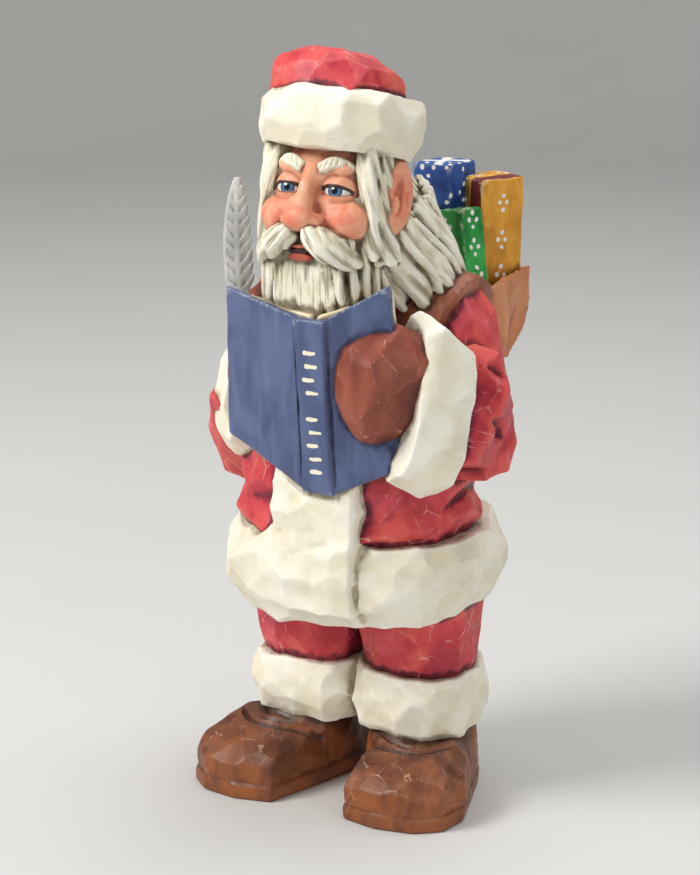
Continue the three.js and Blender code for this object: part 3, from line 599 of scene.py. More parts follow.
def sleeve(arm):
    side, shoulder, elbow = arm["side"], arm["shoulder"], arm["elbow"]
    reach = np.linalg.norm(elbow - arm["back"])
    xs = sorted((side * 12, side * 64))
    volume = box_of((xs[0], -36, 98), (xs[1], 30, 184))
    outward = (side, 0, 0)
    volume.barrel(
        [[-10, 0, 0, 8, 9], [2, 0, 0, 13, 14], [22, 0, 0, 13.5, 15.5], [40, 0, 0, 13.5, 15.5],
         [47, 0, 0, 11.5, 13.5], [52, 0, 0, 6.5, 8.5]],
        rows=4, columns=7, seed=61 + side, placed=along(shoulder, elbow, outward))
    volume.barrel(
        [[-14, 0, 0, 9, 11], [-5, 0, 0, 12.5, 14.5], [reach * 0.6, 0, 0, 13, 18],
         [reach + 5, 0, 0, 12.5, 21]],
        rows=2, columns=7, seed=65 + side, placed=along(elbow, arm["back"], outward), blend=1.0)
    for start, end, away, width, depth in (
        ((51, -20, 161), (57, 0, 146), (1, -0.4, 0.35), 10, 5),
        ((57, -19, 139), (57, 3, 122), (1, -0.5, 0.1), 10, 6),
    ):
        flip = vec(side, 1, 1)
        volume.chip(vec(*start) * flip, vec(*end) * flip, vec(*away) * flip, width, depth,
                    crisp=2.2, blend=0.6)
    volume.dent((10.5, 10.5, 13), 1.1, 13 + side)
    return volume


def sleeve_cuff(arm):
    side, back, front, tall = arm["side"], arm["back"], arm["front"], arm["half_height"]
    length = np.linalg.norm(front - back)
    middle = (back + front) / 2
    volume = box_of(middle - (24, 24, 34), middle + (24, 24, 34))
    far, drop = arm["reach"], arm["drop"]
    levels = [
        [far * 0.8, 0, -drop, 12.5, tall - 2 - drop * 0.7],
        [length * 0.3 + far, 0, -drop * 0.6, 14, tall + 0.5 - drop * 0.5],
        [length * 0.75 + far, 0, 0, 13.5, tall], [length + far, 0, 0, 12, tall - 2],
    ]
    volume.barrel(levels, rows=3, columns=9, seed=71 + side, square=2.5, rough=0.36,
                  placed=along(back, front, (side, 0, 0)))
    volume.dent((11, 11, 12), 1.25, 17 + side)
    return volume


def mitten(arm):
    side, grip, palm, hand = arm["side"], arm["grip"], arm["palm"], arm["hand"]
    volume = box_of(hand - (24, 18, 26), hand + (24, 30, 26), 0.5)
    levels = [[-3, 9, 0.82], [5, 10, 0.94], [12.5, 10, 0.96], [19.5, 8.5, 0.76], [23.5, 5.5, 0.46]]
    levels = [[height, 0, 0, w * grip, h * palm] for height, w, h in levels]
    volume.barrel(levels, rows=3, columns=8, seed=81 + side, square=2.4, rough=0.32,
                  placed=along(arm["wrist"], hand, (side, 0, 0)))
    root = hand + vec(side * 6, 10, 8)
    volume.barrel([[0, 0, 0, 6, 6], [9, 0, 0, 6, 6], [17, 0, 0, 4, 4]], rows=2, columns=6, seed=85 + side,
                  placed=along(root, root + vec(side * -7, 2, 5)), blend=1.0)
    volume.dent((9.5, 9.5, 13), 1.35, 21 + side)
    return volume


BOOK = dict(
    top=vec(6.4, -49.5, 171), bottom=vec(8, -46.5, 113), half_width=6.2, thickness=4, cover=3,
    corners={1: (vec(30.8, -40.5, 183), vec(36.2, -38.5, 123.5)),
             -1: (vec(-29.4, -41.5, 177.3), vec(-30.5, -39, 127.5))},
)


def slab(corners, front, back):
    return [p + vec(0, y, 0) for p in corners for y in (front, back)]


def book():
    top, bottom, cover = BOOK["top"], BOOK["bottom"], BOOK["cover"]
    low, high = (-34, -53, 108), (40, -30, 188)
    covers, pages = box_of(low, high, 0.5), box_of(low, high, 0.5)

    def inner(p, side, drop=0.0):
        return p + vec(side * (BOOK["half_width"] - 1.5), 1.2, drop)

    for side, (outer_top, outer_bottom) in BOOK["corners"].items():
        covers.hull(slab([inner(top, side), inner(bottom, side), outer_top, outer_bottom], 0, cover), crisp=4)
        short = 3
        block = [
            inner(top, side * 0.2, 0.7), inner(bottom, side * 0.2, short),
            lerp(outer_top, top, 0.1) + vec(0, 0, -short), lerp(outer_bottom, bottom, 0.1) + vec(0, 0, short),
        ]
        pages.hull(slab(block, cover - 0.5, cover + 7), crisp=3)
    covers.hull(slab([p + vec(side * BOOK["half_width"], 0, 0) for side in (-1, 1) for p in (top, bottom)],
                     0, BOOK["thickness"]), crisp=3)
    for side in (-1, 1):
        hinge = vec(side * BOOK["half_width"], 0.9, 0)
        line = [lerp(top, bottom, t) + hinge for t in (-0.06, 0.3, 0.7, 1.06)]
        covers.groove(line, lambda p: vec(0, -1, 0), 1.8, 1.5, steps=20, blend=0.2)
    covers.dent((13, 9, 15), 0.5, 31)
    return covers, pages


# Head, worked out in its own frame: the origin is the middle of the skull, and it is leaned back

COS, SIN = math.cos(HEAD["tilt"]), math.sin(HEAD["tilt"])
HEAD_PLACE = np.array(
    [[1, 0, 0, 0], [0, COS, SIN, HEAD["y"]], [0, -SIN, COS, HEAD["z"]], [0, 0, 0, 1]], float)
EYE = (8.8, -15.6, 1.4)
EYE_RADIUS = 5.3
LID_RADIUS = 6.1
UPPER_LID = ((0, -21.7, 2.7), (0, -0.42, -1))
LOWER_LID = ((0, -21.7, -0.5), (0, -0.3, 1))


def in_place(*p):
    return moved(HEAD_PLACE, vec(*p))


def from_head(p):
    return p - in_place(0, 0, -2)


def lid(volume, side, cut):
    point, normal = cut
    small = Volume(in_place(side * EYE[0], *EYE[1:]) - 9, in_place(side * EYE[0], *EYE[1:]) + 9, volume.cell)
    small.egg((side * EYE[0], *EYE[1:]), (LID_RADIUS,) * 3, HEAD_PLACE)
    part, (x, y, z) = small.window(np.array(small.start) * small.cell, np.array(small.stop) * small.cell)
    n, p = HEAD_PLACE[:3, :3] @ unit(vec(*normal)), in_place(*point)
    plane = n[0] * (x - p[0]) + n[1] * (y - p[1]) + n[2] * (z - p[2])
    shape = np.maximum(small.values[part], np.clip(plane, -FAR, FAR))
    part, _ = volume.window(np.array(small.start) * small.cell, (np.array(small.stop) - 1) * small.cell)
    volume.put(part, shape.astype(np.float32), blend=0.3)


def face():
    volume = box_of((-29, -50, 178), (29, 2, 240), FINE_CELL)
    volume.egg((0, 0, 0), HEAD["radii"], HEAD_PLACE)
    for side in (-1, 1):
        volume.egg((side * 7.2, -17.8, 8.6), (6.6, 3, 2.8), HEAD_PLACE, blend=3)
        volume.egg((side * 8.8, -22.8, 2), (6.2, 4.6, 4.4), HEAD_PLACE, blend=1.6, take=True)
        volume.egg((side * 11.2, -13, -7.4), (8.6, 8.4, 7.4), HEAD_PLACE, blend=3.6)
    for centre, radii in (
        ((0, -20.4, 5), (2.7, 3, 4)), ((0, -22, 0.8), (2.7, 3.2, 4.5)),
        ((0, -23.8, -4), (3.5, 3.9, 4.5)), ((0, -24.9, -8.4), (5.3, 5, 4.4)),
        ((4.9, -22.4, -9.2), (3, 3.6, 2.8)), ((-4.9, -22.4, -9.2), (3, 3.6, 2.8)),
    ):
        volume.egg(centre, radii, HEAD_PLACE, blend=1.5)
    for side in (-1, 1):
        lid(volume, side, UPPER_LID)
        lid(volume, side, LOWER_LID)
        wing = [in_place(side * x, y, z) for x, y, z in ((4, -24.6, -4.6), (7.4, -22.6, -7), (8, -21.4, -11))]
        volume.groove(wing, from_head, 1.3, 0.9, blend=0.4)
    volume.dent((5.2, 5.2, 5.2), 0.34, 41)
    return volume


def ear(side):
    middle = in_place(side * 23, -3.6, 0)
    volume = box_of(middle - (13, 14, 20), middle + (13, 14, 20), 0.45)
    angle = -side * math.radians(20)
    turn = np.eye(4)
    turn[:2, :2] = [[math.cos(angle), -math.sin(angle)], [math.sin(angle), math.cos(angle)]]
    turn[:3, 3] = (side * 23, -3.6, 0.5)
    place = HEAD_PLACE @ turn
    volume.egg((side * -1, 0, 1), (4.2, 6.3, 12.2), place)
    volume.egg((side * -1, -1.6, -7), (3.6, 4, 6.4), place, blend=1.5)
    volume.egg((side * 3.6, -0.4, 1.8), (2.8, 3.9, 8.8), place, blend=0.5, take=True)
    volume.egg((side * 1.2, 1.2, 1), (1.5, 1.1, 6.6), place, blend=0.5)
    volume.egg((side * 2.6, -3.2, -1.5), (1.8, 1.2, 3), place, blend=0.6)
    volume.dent((6, 6, 8), 0.15, 43)
    return volume


def eyes():
    volume = box_of((-17, -42, 198), (17, -22, 216), FINE_CELL)
    for side in (-1, 1):
        volume.egg((side * EYE[0], *EYE[1:]), (EYE_RADIUS,) * 3, HEAD_PLACE)
    return volume


def mouth():
    inside, lip = (box_of((-9, -44, 176), (9, -28, 196), FINE_CELL) for _ in range(2))
    inside.egg((0, -20.9, -19), (4.4, 3.2, 1.2), HEAD_PLACE)
    lip.egg((0, -21.2, -20.7), (4.6, 3, 1.4), HEAD_PLACE)
    lip.egg((0, -21.2, -17.5), (3.8, 2.9, 0.8), HEAD_PLACE)
    return inside, lip


def eyebrows():
    volume = box_of((-20, -44, 206), (20, -22, 224), FINE_CELL)
    hairs = 6
    for side in (-1, 1):
        points = ((2.8, -20.4, 7.6), (8.6, -19.8, 10), (16, -14.2, 7.6))
        path = [in_place(side * x, y, z) for x, y, z in points]
        volume.lock(path, from_head, 5.4, 2.8, start=0.3, tip=0.4)
        for k in range(hairs):
            t = (k + 0.8) / (hairs + 0.6)
            low = in_place(side * lerp(3, 15.4, t), -27 + 7 * t, 6)
            high = in_place(side * lerp(5.2, 17, t), -26 + 8 * t, 13)
            spot = curve_points(path, 20)[int(19 * t)]
            ends = [spot + (a - b) * 0.42 + from_head(a) * 0.09 for a, b in ((low, high), (high, low))]
            volume.groove(ends, from_head, 1.3, 1.1, steps=6, lift=1.5, blend=0.2)
    return volume


HAIR = [
    [164, 0, 2, 30, 19], [172, 0, 1, 34, 24], [184, 0, -2, 32, 25], [194, 0, -6, 27.5, 24.6],
    [203, 0, -7, 23.5, 22.5], [214, 0, -9, 23.4, 22], [226, 0, -10, 22.8, 21],
]
HAIR_SQUARE = 2.2
# A lock of the hair: the turn round the head and the height where it starts and ends, its width and height
HAIR_LOCKS = [
    (-64, 200, -46, 170, 11, 2.8), (-48, 198, -22, 165, 12, 3.0), (-28, 200, 2, 169, 12, 2.9),
    (-8, 204, 26, 173, 12, 2.7), (16, 206, 50, 177, 13, 2.5), (44, 208, 78, 179, 13, 2.3),
    (74, 208, 100, 177, 12, 2.1), (-38, 200, -14, 174, 7, 3.5), (-16, 199, 10, 176, 6.5, 3.4),
    (4, 205, 34, 180, 7, 3.2), (30, 208, 62, 182, 7, 2.8),
]


def hair():
    volume = box_of((-40, -34, 158), (40, 32, 236), 0.48)
    volume.barrel(HAIR, rows=4, columns=9, seed=111, square=HAIR_SQUARE)
    for side in (-1, 1):
        for k, (turn0, z0, turn1, z1, width, height) in enumerate(HAIR_LOCKS):
            path = []
            for i in range(4):
                t = i / 3
                sway = 3 * math.sin(math.pi * t) * jitter(k, side, 3)
                turn = math.radians(lerp(turn0, turn1, t) + sway)
                path.append(barrel_point(HAIR, turn, lerp(z0, z1, t**1.15), HAIR_SQUARE) * vec(side, 1, 1))
            volume.lock(path, lambda p: vec(p[0], p[1] + 4, 6), width, height, tip=0.3, blend=0.2)
        volume.egg((side * 15.5, -9, 10), (6, 8.5, 14), HEAD_PLACE)
        for points, width, height in (
            (((17.2, -11, 22), (19, -10.5, 9), (20.4, -9, -3), (24, -5, -20)), 15, 3.4),
            (((17.6, -15, 20), (18.4, -15, 7), (18.8, -13.6, -5), (21.5, -9.5, -19)), 9, 3.6),
        ):
            path = [in_place(side * x, y, z) for x, y, z in points]
            volume.lock(path, lambda p: vec(p[0], -8, 0), width, height, start=0.45, tip=0.75, blend=0.4)
    volume.stroke(hair_flow, 15, 4.6, 1.25, 5)
    return volume


def hair_flow(points):
    x, y, z = points.T
    turn = np.arctan2(y + 5, np.abs(x))
    lean = np.radians(44) * np.exp(-((turn + 0.1) / 0.9) ** 2)
    around, up = 26 * turn, z - 190
    return around * np.sin(lean) - up * np.cos(lean), around * np.cos(lean) + up * np.sin(lean)


BEARD = [
    [-47, 0, 0, 17.5, 15.4], [-31, 0, -4.4, 18.8, 16.6], [-17, 0, -7, 18.4, 17.2], [-10, 0, -6, 17, 14.5],
]


def beard_point(angle, z, grow=0.0):
    _, _, y, half_width, half_depth = level_at(BEARD, z)
    turn = math.radians(angle)
    return in_place((half_width + grow) * math.sin(turn), y - (half_depth + grow) * math.cos(turn), z)


def beard():
    volume = box_of((-25, -42, 150), (25, 6, 202), 0.42)
    rings = []
    for z in (-47, -39, -31, -24, -17, -10):
        rings.append([beard_point(angle, z, -1.4) for angle in range(-112, 113, 14)])
        rings[-1].append(in_place(0, level_at(BEARD, z)[2] + 14, z))
    volume.rings(rings)
    flutes = 13
    for k in range(flutes):
        angle = lerp(-104, 104, k / (flutes - 1))
        top = -24 if abs(angle) < 20 else -12 + 0.5 * jitter(k, 1, 5)
        if abs(angle) > 60:
            top = -9
        path = []
        for i in range(4):
            fanned = angle * lerp(0.78, 1.04, i / 3) + 2 * jitter(k, i, 9)
            path.append(beard_point(fanned, lerp(top, -48, i / 3), -1.2))
        volume.lock(path, lambda p: p - in_place(0, 6, -30), 6.2, 3.7 + 0.6 * jitter(k, 4, 2),
                    start=0.3, tip=0.3)
    volume.stroke(beard_flow, 15, 3.9, 1.15, 15)
    volume.egg((0, -24.6, -19.6), (4.8, 6, 2.7), HEAD_PLACE, take=True, blend=0.6)
    return volume


def beard_flow(points):
    x, y, z = ((points - HEAD_PLACE[:3, 3]) @ HEAD_PLACE[:3, :3]).T
    fan = 1 + 0.012 * (z + 30)
    return -z, 17.5 * np.arctan2(x, 5 - y) * fan


def moustache():
    volume = box_of((-22, -50, 172), (22, -24, 202), FINE_CELL)
    levels = [
        (0.6, -22.4, -13.6, 2.4), (4, -23.8, -15, 5), (9, -22.8, -16.4, 6.3), (14, -19.2, -17.8, 6),
        (18, -15.2, -19.6, 2.8),
    ]
    for side in (-1, 1):
        rings = []
        for row in range(13):
            s = row / 12 * 4
            i = min(int(s), 3)
            near = [levels[max(i - 1, 0)], levels[i], levels[i + 1], levels[min(i + 2, 4)]]
            x, y, z, radius = (catmull_rom(s - i, *column) for column in zip(*near))
            rings.append([
                in_place(side * (x - 0.3 * r * math.sin(a)), y - r * math.cos(a), z + r * math.sin(a))
                for a, r in ((k * math.pi / 8, radius * (1 + 0.02 * jitter(k, row, 17))) for k in range(16))
            ])
        volume.rings(rings, blend=0.6)
    volume.stroke(moustache_flow, 10, 3.1, 0.95, 25)
    return volume


def moustache_flow(points):
    x, _, z = ((points - HEAD_PLACE[:3, 3]) @ HEAD_PLACE[:3, :3]).T
    slope = math.radians(50)
    return (np.abs(x) * math.cos(slope) - z * math.sin(slope),
            np.abs(x) * math.sin(slope) + z * math.cos(slope))


def hat_band():
    volume = box_of((-31, -50, 208), (31, 24, 250))
    y, low, high, width = HAT_BAND["y"], HAT_BAND["low"], HAT_BAND["high"], HAT_BAND["half_width"]
    levels = [
        [low, 0, y, width - 2.4, width - 2.6], [lerp(low, high, 0.25), 0, y, width + 0.4, width + 0.2],
        [lerp(low, high, 0.75), 0, y, width, width], [high, 0, y, width - 3.2, width - 3.2],
    ]
    volume.barrel(levels, rows=3, columns=12, seed=91, square=2.25, rough=0.4, placed=HEAD_PLACE)
    volume.dent((11, 11, 10.5), 1.3, 51)
    return volume


def hat():
    volume = box_of((-27, -46, 205), (27, 30, 256))
    volume.barrel([[27, -2.4, -5, 22.4, 21.2], [38, -2.2, -6, 20.8, 20.4], [43.5, -3, -8, 16, 15],
                   [47.6, -4, -9, 8.5, 8]], rows=3, columns=9, seed=101, placed=HEAD_PLACE)
    volume.barrel([[-4, 0, 0, 10, 6], [12, 0, 0, 10, 8], [30, 0, 0, 7, 6]], rows=2, columns=7, seed=105,
                  placed=along(in_place(-1, 12, 33), in_place(0, 27, 8)), blend=1.5)
    volume.dent((10.5, 10.5, 9), 1.25, 53)
    return volume


def pompom():
    middle = in_place(0, 29, -4)
    volume = box_of(middle - 11, middle + 11)
    volume.egg((0, 29, -4), (8.4, 8.4, 8.4), HEAD_PLACE)
    volume.dent((4.6, 4.6, 4.6), 0.7, 55)
    return volume


def sack():
    volume = box_of((-40, 10, 98), (44, 66, 180))
    x, y, low, rim = SACK["x"], SACK["y"], SACK["low"], SACK["rim"]
    width, depth = SACK["half_width"], SACK["half_depth"]
    volume.barrel([
        [low, x, y - 8, width - 14, depth - 8], [low + 14, x, y - 4, width - 4, depth - 1.5],
        [low + 36, x, y, width, depth], [low + 56, x, y + 1, width - 0.5, depth],
        [rim, x, y + 2, width + 1.5, depth + 1],
    ], rows=4, columns=9, seed=121, square=2.8)
    volume.hull([
        vec(27, 30, 174), vec(33.4, 58, 175), vec(32.4, 56, 152), vec(28, 50, 142.5), vec(26, 33, 150),
        vec(24, 40, 172), vec(22, 56, 172), vec(20, 48, 146),
    ], blend=1.0)
    volume.barrel([[rim - 6, x, y + 2, width - 4, depth - 4], [rim + 4, x, y + 2, width - 1.5, depth - 1.5]],
                  rows=1, columns=9, seed=125, square=2.8, rough=0.1, blend=0.6, take=True)
    volume.dent((13, 13, 14), 1.2, 61)
    return volume


def strap(side):
    xs = sorted((side * 10, side * 44))
    volume = box_of((xs[0], -26, 148), (xs[1], 34, 186), 0.5)
    rings = []
    centres = [(24, -21, 158), (28, -12, 170), (30.5, 2, 178.5), (29, 17, 175), (26, 28, 166)]
    path = curve_points(centres, 17)
    half = 8
    section = [
        (-half, -9), (-half, 1.0), (-half + 1, 1.6), (-2, 2.2), (half - 2.4, 1.5), (half, 0.2), (half, -9),
    ]
    for n, (x, y, z) in enumerate(path):
        away = unit(vec(0.25, (n / 4 - 2.3) * 0.5, 1))
        rings.append([vec(side * (x + across), y, z) + away * up for across, up in section])
    volume.rings(rings)
    volume.dent((7.5, 7.5, 7.5), 0.9, 63)
    return volume


# The presents: name, middle, size, turn about the vertical and lean to one side, in degrees
PRESENTS = [
    ("gold", vec(20.5, 49, 185), vec(14.5, 19, 42), -24, 2),
    ("green", vec(19, 32.5, 183), vec(12.7, 10.5, 27), -18, -9),
    ("blue", vec(8, 41, 189.5), vec(15.5, 17, 43), -6, -2),
    ("rear", vec(-14, 42, 183), vec(20, 19, 34), 12, -5),
]


def present_place(at, turn, lean):
    matrix = Matrix.Rotation(math.radians(lean), 3, "Y")
    matrix = Matrix.Rotation(math.radians(turn), 3, "Z") @ matrix
    place = np.eye(4)
    place[:3, :3], place[:3, 3] = np.array(matrix), at
    return place


def present(number):
    _, at, size, turn, lean = PRESENTS[number]
    place = present_place(at, turn, lean)
    reach = np.abs(place[:3, :3]) @ (size / 2) + 3
    volume = Volume(at - reach, at + reach, 0.5)
    corners = [moved(place, size / 2 * (i, j, k)) for i in (-1, 1) for j in (-1, 1) for k in (-1, 1)]
    volume.hull(corners, crisp=2.2)
    volume.dent((7.5, 7.5, 9), 0.45, 71 + number)
    return volume


FOOT, BEND, TIP = vec(-27.5, -33, 162), vec(-32.5, -30.5, 190), vec(-34.5, -25, 210.5)
VANE_SIDE = unit(vec(0.92, 0.38, 0.05))


def vane_shape(t):
    """How far the vane has opened and how little it has closed, t of the way from foot to tip"""
    opened = np.clip((t - 0.14) / 0.16, 0, 1)
    close = (1 - np.clip((t - 0.42) / 0.585, 0, 1) ** 2) ** 0.75
    return opened, close


def vane_half_width(t):
    opened, close = vane_shape(t)
    return (1.5 + 3.5 * opened) * (0.2 + 0.8 * close)


def quill():
    """A bare stem, and a vane with a stem line and slanting cuts on both sides of it"""
    volume = box_of((-43, -38, 159), (-21, -20, 213), 0.28)
    side = VANE_SIDE
    stem, vane, steps = 2.6, 2.4, 48
    section = [
        (1, 0.2), (0.8, 0.6), (0.5, 0.72), (0.2, 0.7), (0.1, 1.1), (-0.1, 1.1), (-0.2, 0.7), (-0.5, 0.72),
        (-0.8, 0.6), (-1, 0.2), (-1, -0.2), (-0.8, -0.6), (-0.5, -0.75), (0, -0.95), (0.5, -0.75),
        (0.8, -0.6), (1, -0.2),
    ]
    rings = []
    for i in range(steps + 1):
        t = i / steps
        p = (1 - t) ** 2 * FOOT + 2 * t * (1 - t) * BEND + t**2 * TIP
        tangent = unit(2 * (1 - t) * (BEND - FOOT) + 2 * t * (TIP - BEND))
        out = unit(np.cross(tangent, side))
        opened, close = vane_shape(t)
        wide = vane_half_width(t)
        thick = lerp(stem, vane, opened) / 2 * lerp(0.45, 1, close)
        rings.append([p + side * a * wide + out * b * thick for a, b in section])
    volume.rings(rings)
    axis, length = unit(TIP - FOOT), np.linalg.norm(TIP - FOOT)

    def barbs(points):
        s = (points - FOOT) @ side
        u = (points - FOOT) @ axis
        s = s + 0.088 * u - 0.00138 * u**2
        wave = (u - 1.15 * np.abs(s)) / 4.1 + 0.08 * np.sin(u * 0.9)
        phase = wave - np.floor(wave)
        rim = np.clip((s + vane_half_width(u / length) - 1.1) / 0.5, 0, 1)
        on_vane = np.clip((u - 10) / 3, 0, 1) * np.clip((np.abs(s) - 0.6) / 0.5, 0, 1) * rim
        return 0.6 * on_vane * np.clip(1 - 1.4 * phase, 0, 1)

    volume.hollow_out(barbs)
    return volume


# From volumes to one painted mesh


def mesh_from(name, points, faces):
    """A mesh with all faces of one size"""
    size = faces.shape[1]
    mesh = bpy.data.meshes.new(name)
    mesh.vertices.add(len(points))
    mesh.vertices.foreach_set("co", np.ascontiguousarray(points, np.float32).ravel())
    mesh.loops.add(faces.size)
    mesh.loops.foreach_set("vertex_index", np.ascontiguousarray(faces, np.int32).ravel())
    mesh.polygons.add(len(faces))
    mesh.polygons.foreach_set("loop_start", np.arange(0, faces.size, size, dtype=np.int32))
    mesh.update(calc_edges=True)
    mesh.validate()
    return mesh


def link(name, mesh):
    thing = bpy.data.objects.new(name, mesh)
    bpy.context.scene.collection.objects.link(thing)
    return thing


def settle(thing):
    """Applies the modifiers"""
    graph = bpy.context.evaluated_depsgraph_get()
    mesh = bpy.data.meshes.new_from_object(thing.evaluated_get(graph))
    old = thing.data
    thing.modifiers.clear()
    thing.data = mesh
    bpy.data.meshes.remove(old)
    return thing


def triangle_area(points, faces):
    a, b, c = (points[faces[:, k]] for k in range(3))
    return 0.5 * np.linalg.norm(np.cross(b - a, c - a), axis=1).sum()


def skin_of(volume, name, density):
    """The volume's surface, with about so many triangles a square millimetre"""
    values = volume.values
    for axis in range(3):
        edge = [slice(None)] * 3
        for end in (0, -1):
            edge[axis] = end
            values[tuple(edge)] = FAR
    grid = openvdb.FloatGrid(FAR)
    grid.copyFromArray(values, ijk=tuple(int(s) for s in volume.start), tolerance=0.001)
    grid.transform = openvdb.createLinearTransform(voxelSize=volume.cell)
    points, _, quads = grid.convertToPolygons(isovalue=0.0, adaptivity=0.0)
    quads = quads.astype(np.int64)
    split = np.concatenate([quads[:, [0, 1, 2]], quads[:, [0, 2, 3]]])
    a, b, c = (points[split[:, k]].astype(float) for k in range(3))
    if np.einsum("ij,ij->i", a, np.cross(b, c)).sum() < 0:
        split = split[:, ::-1]
    thing = link(name, mesh_from(name, points, split))
    wanted = density * triangle_area(points.astype(float), split)
    if wanted < len(split):
        thin = thing.modifiers.new("thin", "DECIMATE")
        thin.ratio = wanted / len(split)
        settle(thing)
    return thing


def join_skins(skins):
    whole = skins[0]
    for other in skins[1:]:
        join = whole.modifiers.new("join", "BOOLEAN")
        join.operation = "UNION"
        join.solver = "MANIFOLD"
        join.material_mode = "TRANSFER"
        join.object = other
        settle(whole)
        bpy.data.objects.remove(other)
    return whole


def regions():
    """Each region's paint, its volume, and how finely it is meshed"""
    covers, pages = book()
    inside, lip = mouth()
    yield "boot_brown", boots(), 1.65
    yield "coat_red", legs(), 0.8
    yield "fur_white", trouser_cuffs(), 1.0
    yield "fur_white", hem(), 0.95
    yield "coat_red", torso(), 0.85
    for arm in ARMS:
        yield "coat_red", sleeve(arm), 1.0
        yield "fur_white", sleeve_cuff(arm), 1.0
        yield "mitten_brown", mitten(arm), 1.7
    yield "book_blue", covers, 0.9
    yield "page_cream", pages, 0.5
    yield "sack_tan", sack(), 0.7
    for number, (name, *_) in enumerate(PRESENTS):
        yield "gift_" + name, present(number), 0.9
    for side in (-1, 1):
        yield "strap_brown", strap(side), 1.1
        yield "skin", ear(side), 2.6
    yield "skin", face(), 3.8
    yield "eye", eyes(), 7
    yield "hair_white", hair(), 2.0
    yield "beard_white", beard(), 3.0
    yield "mouth_dark", inside, 3
    yield "lip_red", lip, 5
    yield "moustache_white", moustache(), 5.5
    yield "hair_white", eyebrows(), 8
    yield "fur_white", hat_band(), 1.1
    yield "coat_red", hat(), 1.1
    yield "fur_white", pompom(), 1.6


def blurred(values, sigma):
    """Gaussian blur, sigma in cells"""
    radius = int(math.ceil(3 * sigma))
    weights = np.exp(-0.5 * (np.arange(-radius, radius + 1) / sigma) ** 2)
    weights = (weights / weights.sum()).astype(np.float32)
    for axis in range(3):
        padded = np.pad(values, [(radius, radius) if k == axis else (0, 0) for k in range(3)], mode="edge")
        total = np.zeros_like(values)
        for n, weight in enumerate(weights):
            cut = [slice(None)] * 3
            cut[axis] = slice(n, n + values.shape[axis])
            total += weight * padded[tuple(cut)]
        values = total
    return values


def sampled(values, start, cell, points):
    """The lattice's values at points between its own"""
    scaled = points / cell - start
    base = np.clip(np.floor(scaled).astype(int), 0, np.array(values.shape) - 2)
    part = scaled - base
    found = 0
    for i in range(8):
        corner = np.array([i // 4, i // 2 % 2, i % 2])
        weight = np.prod(np.where(corner, part, 1 - part), axis=1)
        found = found + weight * values[tuple((base + corner).T)]
    return found


def numbers_of(items, name, each, kind=np.float32):
    found = np.zeros(len(items) * each, kind)
    items.foreach_get(name, found)
    return found


def triangles_of(mesh):
    return numbers_of(mesh.loops, "vertex_index", 1, np.int32).reshape(-1, 3)


def roundness(mesh):
    """At each vertex, how much wood is near it, at two scales: over a half in creases, under it on ridges"""
    points = numbers_of(mesh.vertices, "co", 3).reshape(-1, 3)
    cell = 0.8
    grid = openvdb.FloatGrid.createLevelSetFromPolygons(
        points, triangles=triangles_of(mesh), halfWidth=3,
        transform=openvdb.createLinearTransform(voxelSize=cell))
    start = np.floor(points.min(0) / cell).astype(int) - 16
    stop = np.ceil(points.max(0) / cell).astype(int) + 17
    values = np.zeros(stop - start, np.float32)
    grid.copyToArray(values, ijk=tuple(int(s) for s in start))
    inside = np.clip(0.5 - values / (2 * cell), 0, 1)
    fine = blurred(inside, 1.5)
    shape = (np.array(inside.shape) // 2) * 2
    coarse = inside[:shape[0], :shape[1], :shape[2]].reshape(
        shape[0] // 2, 2, shape[1] // 2, 2, shape[2] // 2, 2).mean(axis=(1, 3, 5))
    wide = blurred(coarse, 2.6)
    return points, sampled(fine, start, cell, points), sampled(wide, start / 2 + 0.25, 2 * cell, points)


def scoop_marks(points, normals, volume_list):
    """For each point, how far the nearest ridge between two scoops is, and a number of its scoop's own"""
    ridge = np.full(len(points), 3.0)
    own = np.full(len(points), 0.5)
    for volume in volume_list:
        if not volume.dents:
            continue
        low, high = volume.start * volume.cell, volume.stop * volume.cell
        inside = np.nonzero(((points > low) & (points < high)).all(axis=1))[0]
        ridge[inside] = dent_borders(points[inside], normals[inside], *volume.dents)
        own[inside] = nearest_dents(points[inside], *volume.dents)[1]
    return ridge, own


def put_numbers(mesh, name, values):
    mesh.attributes.new(name, "FLOAT", "POINT").data.foreach_set("value", values.astype(np.float32))


def mark_shape(thing):
    """Stores on the mesh where its creases, corners and hollows are, for the paints"""
    points, fine, wide = roundness(thing.data)
    put_numbers(thing.data, "crease", np.clip((fine - 0.5) * 4, 0, 1))
    # How far each corner stands out, for wear and for painted highlights
    put_numbers(thing.data, "worn_and_lit", np.clip((0.5 - fine) * 5, 0, 1))
    put_numbers(thing.data, "hollow", np.clip((wide - 0.5) * 3, 0, 1))
    return points


def mark_cuts(thing, points, volumes):
    """Stores how far the nearest ridge is, a number for each cut, and how the hair runs"""
    mesh = thing.data
    triangles = triangles_of(mesh)
    paint = numbers_of(mesh.polygons, "material_index", 1, np.int32)
    normals = numbers_of(mesh.vertex_normals, "vector", 3).reshape(-1, 3).astype(float)
    ridge = np.full(len(points), 3.0)
    own = np.full(len(points), 0.5)
    flow = np.zeros((len(points), 3), np.float32)
    for index, material in enumerate(mesh.materials):
        used = np.unique(triangles[paint == index])
        near = points[used].astype(float)
        ridge[used], own[used] = scoop_marks(near, normals[used], volumes[material.name])
        for volume in volumes[material.name]:
            if volume.strokes:
                flow[used] = np.stack(volume.strokes(near), axis=1)
    put_numbers(mesh, "ridge", np.clip(ridge, 0, 3))
    put_numbers(mesh, "patch", own)
    mesh.attributes.new("flow", "FLOAT_VECTOR", "POINT").data.foreach_set("vector", flow.ravel())


